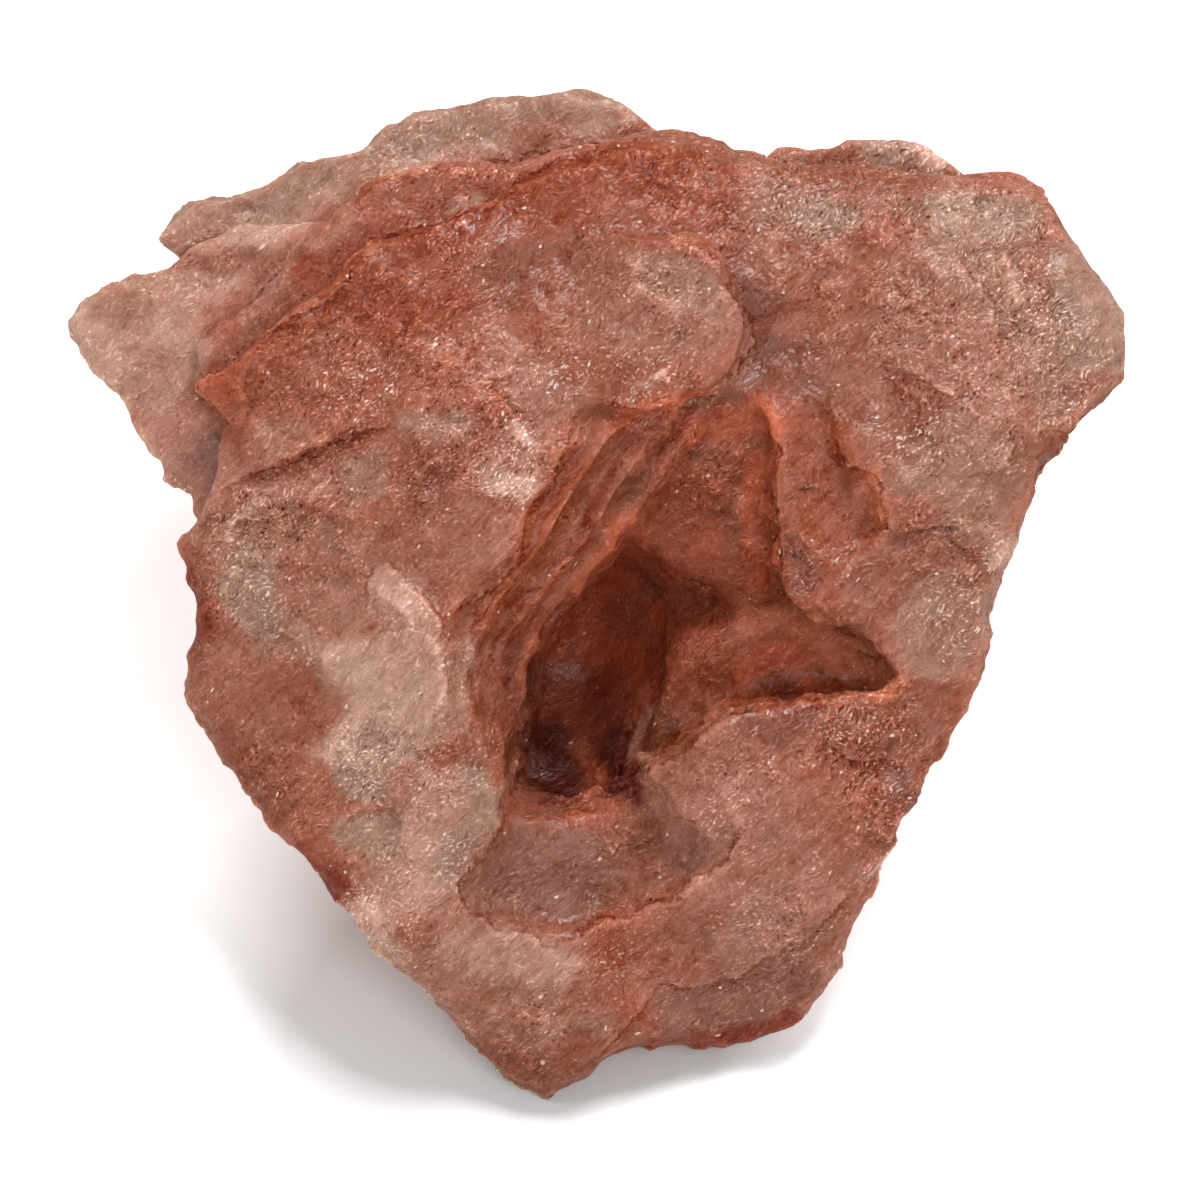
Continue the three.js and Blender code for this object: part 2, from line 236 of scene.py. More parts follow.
# %% [markdown]
# ## Ledges
#
# Where one shell of the stone ends and the next begins there is a low ledge with a ragged lip. A sculptor
# would draw each with a crease brush. The same thing in numbers is a line on the face with a strength and a
# reach: the skin rises on one side of it, drops on the other, and eases back on both. It is low relief, of
# about a tenth of a millimetre at most. A strength above zero rises on the line's left as it runs, and one
# below zero on its right.
# How far each vertex is from its nearest ledge is kept, for the material's painted highlight on the lip and
# painted shadow in and under the crack.

# %% The ledges of the broken face
# name, strength, reach in millimetres, points across and up the face
LEDGES = [
    ("red layer", 0.35, 1.6, [(-20.5, 15.6), (-18.2, 18), (-16.6, 20), (-14.8, 21.8), (-12.3, 23.2),
     (-10.3, 23.6), (-8.5, 24.5), (-6, 24.7), (-4.7, 24.5), (-4, 25.3), (0, 25.5), (2.3, 26.4), (4, 26.5)]),
    ("front layer", 0.35, 1.6, [(-22.4, 11.3), (-21.5, 12.5), (-20, 13.5), (-18.5, 15), (-15.5, 16.3),
     (-14, 17.6), (-13, 19.3), (-11, 20.3), (-8, 21.3), (-6.2, 21.8), (-4, 23.8), (-0.5, 24.8)]),
    ("crumbly front", 0.2, 1.2, [(-20.2, 7.8), (-19.9, 9.5), (-19, 11.5), (-18.6, 12.8), (-16.6, 13.9),
     (-14, 14.6)]),
    ("left ledge", 0.35, 1.4, [(-22, 5), (-20.8, 6.3), (-19, 7), (-17.5, 7.8), (-16.6, 8), (-15.6, 8.6),
     (-14.2, 8.8), (-13, 9.3), (-11.5, 9.7)]),
    ("lower ledge", 0.25, 1.2, [(-22.8, 4), (-21.5, 4.6), (-20, 4.3), (-18, 4.5), (-16, 5), (-15.2, 6.3),
     (-14.7, 7.2)]),
    ("flap", -0.45, 1.8, [(-12.4, -0.6), (-12.7, 0.3), (-12.5, 1), (-11.8, 1.9), (-11, 1.5), (-10, 0.5),
     (-9, -0.6), (-8.6, -1.4), (-8.6, -2.5), (-8.4, -4.5), (-8.6, -5.8), (-9.2, -6.8), (-9.9, -7.6)]),
    ("front edge", -0.3, 1.2, [(-1.2, 11.2), (-1.5, 9.4), (-2.2, 7.6), (-3, 6), (-4.1, 4.6), (-4.3, 3),
     (-4.3, 2.2), (-5.2, 1.3), (-7, 0.2), (-8.4, -0.9)]),
    ("first slat", -0.2, 0.7, [(-5.6, 0.9), (-6.2, 0), (-6.7, -0.8), (-7.2, -1.7), (-7.1, -3),
     (-7.2, -4.5), (-7, -6), (-7.3, -7.8)]),
    ("second slat", -0.2, 0.7, [(0.2, 3.8), (-1.5, 2.4), (-3, 1), (-5.5, -1.4), (-6, -2.6), (-5.9, -3.6),
     (-5.7, -5), (-5.9, -6.8), (-5.6, -8.4)]),
    ("third slat", -0.2, 0.7, [(1.9, 4.3), (0.5, 2.2), (-1, 0.3), (-2.5, -1.5), (-3.9, -3.4), (-3.75, -4.5),
     (-4, -6.5), (-4.6, -7.5), (-5.2, -8.6)]),
    ("tongue", -0.35, 1.2, [(5.2, 19.4), (6.8, 18.3), (7, 17), (8.2, 15.8), (8.5, 14.9), (8.4, 14.2),
     (7.4, 12.6), (6.2, 11.5), (4, 10.6), (2.8, 10.2), (1, 10.6), (-0.6, 11.2)]),
    ("dark shelf", 0.35, 1.0, [(8.6, 9.3), (9.7, 8.9), (10, 8.2), (9.6, 6), (9.9, 4.8), (9.95, 1.8),
     (9.7, 1), (10.3, 0), (11.6, -0.9)]),
    ("orange shelf", 0.45, 1.4, [(12.8, 9.6), (13.1, 8.2), (13.9, 7.1), (15, 6.9), (15.7, 6.4),
     (15.8, 5.2), (15.6, 4), (14.9, 3.4), (13.4, 3)]),
    ("orange shelf, inner", 0.15, 0.8, [(13.7, 7.1), (14.1, 6), (13.9, 4.6), (13.3, 3.8)]),
    ("below the orange shelf", 0.25, 1.0, [(10.4, 3.8), (11.5, 3.3), (12.1, 2.3), (13, 1.5)]),
    ("small block", -0.2, 0.9, [(15.8, 4), (17, 3.7), (18.5, 3.8), (20.2, 3.7)]),
    ("alcove roof", 0.3, 1.2, [(13.6, -1.9), (14.8, -2.2), (15.2, -3), (16.2, -3.8), (17, -4.7)]),
    ("alcove sill", 0.3, 1.4, [(17.1, -5), (15, -5.1), (12, -5.5), (10, -5.3), (9, -5.2), (7.5, -6),
     (6, -7), (4, -8.8), (2.2, -9.5), (0.8, -11), (0, -11.6), (-1.5, -12), (-3, -12.1)]),
    ("rim step", -0.45, 1.5, [(-5.2, -9.2), (-5.1, -10.5), (-5.8, -11.5), (-5.6, -12.5), (-6, -13.5),
     (-7, -14.7), (-8, -15.8), (-7.9, -16.6), (-7.2, -17.6), (-5.5, -18.2), (-3.8, -18.3), (-2.8, -19.2),
     (-1.8, -18.8), (0, -17.6), (1.5, -17.4), (3, -16.8), (4.2, -16.5), (6, -15.4), (7, -14.7),
     (7.2, -13.6), (8.2, -12.4)]),
    ("dent over the step", -0.1, 1.0, [(1, -11.6), (0.9, -13), (1.6, -14.2), (3, -14), (3.6, -13),
     (3.2, -12), (2.4, -11.2)]),
    ("bottom edge", 0.35, 1.4, [(-1, -26.4), (0, -25.3), (1.3, -23.8), (2.3, -22.6), (2.9, -21.3)]),
    ("right foot edge", 0.3, 1.6, [(2.6, -20.8), (5, -21.7), (7, -21.4), (9, -20.4), (11, -19.2),
     (13, -17.5), (14.2, -15.8)]),
    ("lower left plate", 0.2, 1.0, [(-15, -12.6), (-13.5, -11.8), (-11.4, -11.5), (-10.9, -12.2),
     (-10.9, -13.8)]),
    ("lobe shell", 0.25, 1.2, [(13.2, 12.2), (12.6, 11), (12.9, 9.7)]),
    ("lobe ridge", -0.3, 1.1, [(19.6, 19.3), (21, 16.8), (22, 15.2), (23.2, 13.4)]),
    ("lobe ridge, middle", -0.25, 1.0, [(15.8, 18.4), (16.8, 17), (18.2, 15.8), (19.4, 15.4)]),
    ("lobe ridge, lower", 0.3, 1.0, [(16.8, 13.3), (18.2, 12), (19.6, 11.3), (21.3, 11.8)]),
    ("lobe plate", 0.3, 1.0, [(24.7, 18.6), (25.2, 17), (26.6, 15.2)]),
    ("lobe foot", 0.25, 1.0, [(16, 12.6), (17.6, 10.8), (17.4, 9.6), (18.4, 8.9), (17.5, 7.9)]),
    ("lobe hook", -0.25, 0.8, [(15.2, 20.4), (16.4, 19.8), (16.4, 19.2)]),
    ("upper right layer", -0.2, 1.2, [(4.8, 20.2), (7, 20.4), (9, 20.4), (10.3, 21.2)]),
    ("right flank", -0.3, 1.0, [(22.4, 10.2), (23, 8.6), (22.6, 7.2), (21, 6.9), (19.4, 7)]),
    ("shell by the right foot", 0.3, 1.2, [(12.4, -7.2), (12.8, -8.2), (14, -8.9), (15.6, -9), (17.4, -9.6)]),
    ("ring chip", 0.12, 0.5, [(-10.2, 2.6), (-9.8, 1.9), (-9.2, 1.9), (-9, 2.8), (-9.3, 3.3)]),
]


print(len(LEDGES), "ledges")


# %% How far from a line
def along_line(spots, line):
    """Each (across, up) spot's distance to the line, above zero on its left, and how far from its ends."""
    best = np.full(len(spots), np.inf)
    side = np.ones(len(spots))
    run = np.zeros(len(spots))
    line = np.array(line, float)
    lengths = np.linalg.norm(np.diff(line, axis=0), axis=1)
    start = np.concatenate([[0], np.cumsum(lengths)])
    for i, length in enumerate(lengths):
        step = (line[i + 1] - line[i]) / length
        away = spots - line[i]
        t = np.clip(away @ step, 0, length)
        gap = np.linalg.norm(away - t[:, None] * step, axis=1)
        closer = gap < best
        best[closer] = gap[closer]
        side[closer] = np.sign(step[0] * away[:, 1] - step[1] * away[:, 0])[closer]
        run[closer] = (start[i] + t)[closer]
    return best * side, np.minimum(run, start[-1] - run)


middle = np.zeros((1, 2))
for name, _, _, line in LEDGES[:3]:
    gap = float(along_line(middle, line)[0][0])
    print("the", name, "runs", round(abs(gap), 1), "mm from the middle of the face")

# %% Raise the ledges
LIP = 0.3
RISE = 0.22
RAGGED = 0.4
FULLY_OUT = 0.45
FULLY_PAINTED = 0.35
NO_LEDGE = 9.0


def facing_out(normals):
    """How much each normal looks out of the broken face, from 0 to 1."""
    return np.clip((normals @ np.array(outward)) / FULLY_OUT, 0, 1)


points, normals = skin_points()
places = on_face(points)
front = facing_out(normals)
ragged = places + RAGGED * np.stack(
    [cloud(places, 1.6, seed=21), cloud(places, 1.6, seed=22), 0 * front], axis=1
)
rise = np.zeros(len(points))
ledge_gap = np.full(len(points), NO_LEDGE)
ledge_share = np.zeros(len(points))
for name, strength, reach, line in LEDGES:
    corners = np.array(line)
    close = np.all(
        (ragged[:, :2] > corners.min(0) - 8 * reach) & (ragged[:, :2] < corners.max(0) + 8 * reach), axis=1
    ) & (front > 0)
    gap, from_end = along_line(ragged[close, :2], line)
    lip = np.tanh(gap / LIP) * np.exp(-np.abs(gap) / (2.2 * reach))
    fade = np.clip(from_end, 0, 1)
    rise[close] += RISE * strength * lip * fade
    high_side = gap * np.sign(strength)
    nearer = np.abs(high_side) < np.abs(ledge_gap[close])
    nearest = np.flatnonzero(close)[nearer]
    ledge_gap[nearest] = high_side[nearer]
    ledge_share[nearest] = (fade * min(1, abs(strength) / FULLY_PAINTED))[nearer]
ledge_share *= front
move_skin(points + np.outer(rise * front * MM, outward))
print("the ledges move the skin by up to", round(float(np.abs(rise * front).max()), 2), "mm")

# %% [markdown]
# ## Chips and crumbs
#
# Beryl has no easy cleavage. It snaps like glass, into shell-shaped scoops that meet at sharp ridges.
# Bowls round scattered points give just that: each place takes the lowest of the bowls that cover it, and
# each bowl has a tilt and a lift of its own. Three sizes are added, like three chisels.
# Some parts of the face are waxy and smooth and others are crumbly, glinting or streaked, so lists of places
# say how much of each there is, and the scoops follow the first two.

# %% Where the skin is crumbly
# across, up, reach in millimetres, amount
CRUMBLY = [
    (-15, 12, 3.5, 0.8), (-10, 16, 4, 0.6), (-6, 11, 3.5, 0.6), (-9, 7.5, 2.5, 0.8), (-17, 4, 3, 1.0),
    (-20, 4.5, 2, 0.9), (-15, 7, 1.6, 1.0), (-20.5, 0.5, 2.2, 0.7), (-12, -9, 2.5, 0.7),
    (-9, -9, 1.6, 0.9), (-12, -17, 3, 0.6), (-18, -10, 3, 0.4), (14, 22, 5, 0.6), (22, 21, 3, 0.7),
    (18, 16, 4, 0.6), (24, 14, 3.5, 0.8), (19, 9, 3, 0.6), (20, 3, 3, 0.7), (14, -7.5, 2.6, 1.0),
    (8, -10, 2.5, 0.5), (10, -18, 3, 0.5), (2, 16, 4, 0.45), (-5, 8, 1.8, 0.9), (-7, 24, 3, 0.5),
    (-12, 26, 4, 0.3), (-22, 19, 4, 0.3), (-4, -24, 3, 0.5), (16.5, -12, 2, 0.9), (5, 22, 4, 0.7),
    (6, 7, 2.6, 0.6), (-1, -15, 2.5, 0.4), (11, 3, 2.5, 0.6),
]
SMOOTH = [
    (3, -2, 4.5, 1.0), (-3, -15, 3.5, 0.9), (13, 5, 2.6, 1.0), (-22, 9, 2.6, 1.0), (-4, -5, 4, 1.0),
    (-3, 3, 3, 1.0), (-6, -5, 2.5, 1.0), (8, -3, 4, 1.0), (1, -20.5, 2, 0.8), (-8, -13, 2.2, 0.6),
    (-7, 3.5, 1.6, 0.6),
]
# where the painted glints of bright flakes cluster
GLINTING = [
    (-4.4, 9.2, 1.0, 1.0), (-5, 6.5, 1.0, 1.0), (-20.4, 4, 1.0, 1.0), (-10.8, -0.4, 1.0, 0.8),
    (-9.2, -3, 1, 0.8), (-14, -8.5, 1.2, 0.8), (-12.3, -9.8, 1.2, 1.0), (-6, -9, 1.2, 0.8),
    (-14.4, -17, 1, 1.0), (22.4, 2.4, 1, 1.0), (16, -14.6, 0.8, 1.0), (18, 25, 1.2, 1.0),
    (3, 12, 2, 0.7), (14, -7, 1.2, 0.5), (24.4, 16, 1.6, 0.9), (26.4, 12, 1.2, 0.9), (17, 9, 1.8, 0.7),
    (20, -1, 1.6, 0.8), (-2, 13, 1.6, 0.7), (6, -12, 1.2, 0.6), (-8, -14, 1.4, 0.6),
    (8.6, -18, 1.4, 0.7), (-17.6, -0.4, 1.4, 0.7), (-13, 12, 2, 0.5), (-8, 20, 2, 0.4),
    (11, 22, 2, 0.6), (1, -20, 1.6, 0.6), (15.6, -10, 1.0, 0.4),
]
# where fine parallel streaks show in the stone
STREAKED = [
    (-10.5, -2, 2.5, 1.0), (-4, -23, 4, 1.0), (1, -20, 3, 1.0), (-8, -17, 4, 0.8), (4, 12, 3, 0.8),
    (24, 15, 3, 0.7), (14, -7, 3, 0.9), (18, 0, 4, 0.8), (-4, 5, 2, 0.9), (6, -12, 4, 0.6), (-12, -8, 3, 0.8),
    (-18, 6, 3, 0.6), (18, 9, 3, 0.6), (-20, 0, 3, 0.5), (12, -20, 3, 0.8), (-5, 0, 4, 0.8),
]
print("places:", len(CRUMBLY), "crumbly,", len(SMOOTH), "smooth,", len(GLINTING), "glinting")

# %% How crumbly, glinting and streaked each vertex is
points, normals = skin_points()
places = on_face(points)
front = facing_out(normals)
wander = np.stack([cloud(places, 3.0, seed=s) for s in (6, 7, 8)], axis=1)
near_places = places + 1.2 * wander
calm = np.clip(patches(places, SMOOTH), 0, 1) * front
crumbly = np.clip(patches(near_places, CRUMBLY), 0, 1) * (1 - calm)
crumbly = np.clip(0.12 + crumbly + 0.35 * cloud(places, 2.2, seed=9), 0, 1)
crumbly = crumbly * front + np.clip(0.45 + 0.5 * cloud(places, 6.0, seed=10), 0, 1) * (1 - front)
glinting = np.clip(patches(near_places, GLINTING), 0, 1) * front
streaked = np.clip(0.2 + patches(near_places, STREAKED), 0, 1)
print("crumbly skin:", round(100 * float((crumbly > 0.5).mean())), "%")


# %% Scoops
TILT = 0.5
LIFT = 0.7
BULGE = 1.6
BOWLS_NEAR = 4


def scoops(places, size, depth, seed, stretch=(1, 1, 1)):
    """Height of shell-shaped scoops about size wide, with sharp ridges where they meet. In millimetres."""
    chance = np.random.default_rng(seed)
    scaled = places / np.array(stretch)
    start = scaled.min(0) - size
    cells = np.ceil((scaled.max(0) + size - start) / size).astype(int)
    corners = np.indices(cells).reshape(3, -1).T
    seeds = start + (corners + chance.random(corners.shape)) * size
    tilts = chance.normal(size=seeds.shape) * TILT
    lifts = chance.uniform(0, LIFT, len(seeds))
    tree = kdtree.KDTree(len(seeds))
    for i, place in enumerate(seeds.tolist()):
        tree.insert(place, i)
    tree.balance()
    found = [tree.find_n(place, BOWLS_NEAR) for place in scaled.tolist()]
    nearest = np.array([[index for _, index, _ in bowls] for bowls in found])
    lowest = np.full(len(places), np.inf)
    for turn in range(BOWLS_NEAR):
        pick = nearest[:, turn]
        away = (scaled - seeds[pick]) / size
        bowl = BULGE * (away**2).sum(1) + np.einsum("ij,ij->i", away, tilts[pick]) + lifts[pick]
        lowest = np.minimum(lowest, bowl)
    return depth * (lowest - lowest.mean())


print("each place takes the lowest of", BOWLS_NEAR, "bowls")

# %% Three sizes of scoop
CALMED = 0.75
SUNK = 0.08
swirled = places + 0.5 * wander
side = 1 - front
broken = (
    (0.5 + 0.4 * crumbly + 0.4 * side) * scoops(swirled, 5.0, 0.5, seed=1, stretch=(1.3, 1, 0.8))
    + (0.4 + 0.5 * crumbly + 0.9 * side) * scoops(swirled, 1.9, 0.24, seed=2, stretch=(1.3, 1, 1))
    + (0.25 + 0.75 * crumbly) * scoops(swirled, 0.85, 0.2, seed=3)
    + 0.08 * cloud(places, 3.0, seed=4)
)
broken = broken * (1 - CALMED * calm) - SUNK
move_skin(points + normals * broken[:, None] * MM)
print("chips go from", round(broken.min(), 2), "to", round(broken.max(), 2), "mm")

# %% [markdown]
# ## Ridges and creases
#
# Thin edges get painted light, paler as if light shone through them, and creases get painted shade, darker
# where shade falls. Both come from how much the skin bends, which is measured once here and kept on the mesh
# for the material. Then the skin is thinned where it is nearly flat, which keeps the file light and the
# ledges crisp.

# %% Measure the bends
# after how many turns of spreading: the usual bend in millimetres, and its weight
BENDS = {2: (0.05, 0.35), 5: (0.09, 0.35), 16: (0.2, 0.3)}
points, normals = skin_points()
near = points
ridge = 0
for turn in range(1, max(BENDS) + 1):
    near = spread(near)
    if turn in BENDS:
        usual, weight = BENDS[turn]
        bend = np.einsum("ij,ij->i", points - near, normals) / MM
        ridge = ridge + bend / usual * weight
        strong = round(float(np.percentile(bend, 95)), 3)
        print("after", turn, "turns, one vertex in twenty bends more than", strong, "mm")
ridge = np.clip(ridge, -1, 1)

# %% Thin the flat parts
measured = kdtree.KDTree(len(points))
for i, point in enumerate((points / MM).tolist()):
    measured.insert(point, i)
measured.balance()
triangles = 2 * len(stone.data.polygons)
apply_modifier("DECIMATE", ratio=MOST_TRIANGLES / triangles)
points, normals = skin_points()
source = np.array([measured.find(point)[1] for point in (points / MM).tolist()])
kept = {
    "ridge": ridge, "crumbly": crumbly, "streaked": streaked, "glinting": glinting,
    "ledge_gap": ledge_gap, "ledge_share": ledge_share,
}
for name, values in kept.items():
    stone.data.attributes.new(name, "FLOAT", "POINT").data.foreach_set("value", values[source])
print("thinned from", triangles, "to", len(stone.data.polygons), "faces")

# %% [markdown]
# ## Stains and milky patches
#
# The colour of this stone wanders. Iron has soaked into some layers and left them brick red, other parts are
# milky and almost grey, and the hollow glows orange. By hand this would be vertex paint. Here the stone gets
# a short list of stains, and coats of them are brushed on in order: each coat is a named place, a stain, a
# brush radius, and the line it follows, so that one coat can be changed without touching the rest.
# The lines and radii were set one by one. The stains' colours, all but the painted glints' white, and most
# coats' choice of stain were fitted to the real stone. The stains' colours, all but frost, and most coats'
# choice of stain were fitted to the real stone by a separate program.
# A stain is the stone's own colour under its veils. In the hollow it is paler than the stone looks there,
# because light that bounces about in a hollow is dyed over and over. Some coats are painted light and shade
# rather than stain: the glints and bright streaks, the shade behind the tongue and on the slats, and the
# light under the alcove's roof.

# %% Stains, from pale to dark
STAINS = {
    # the white of the painted highlight streaks, not a stain
    "painted_glint_white": "#cda08d",
    "milk": "#bd9582",
    "cream": "#b48674",
    "peach": "#c7795b",
    "ash": "#a07a68",
    "buff": "#a7715f",
    "sand": "#a17360",
    "orange": "#bb6243",
    "rose": "#9d6854",
    "clay": "#9d5b44",
    "dusk": "#975d48",
    "terracotta": "#a3563c",
    "dun": "#8c5b4a",
    "copper": "#954e33",
    "brown": "#8c503a",
    "brick": "#8f452a",
    "umber": "#7f4634",
    "chestnut": "#7b422a",
    "rust": "#7f341c",
    "wine": "#652f25",
}
print(len(STAINS), "stains")

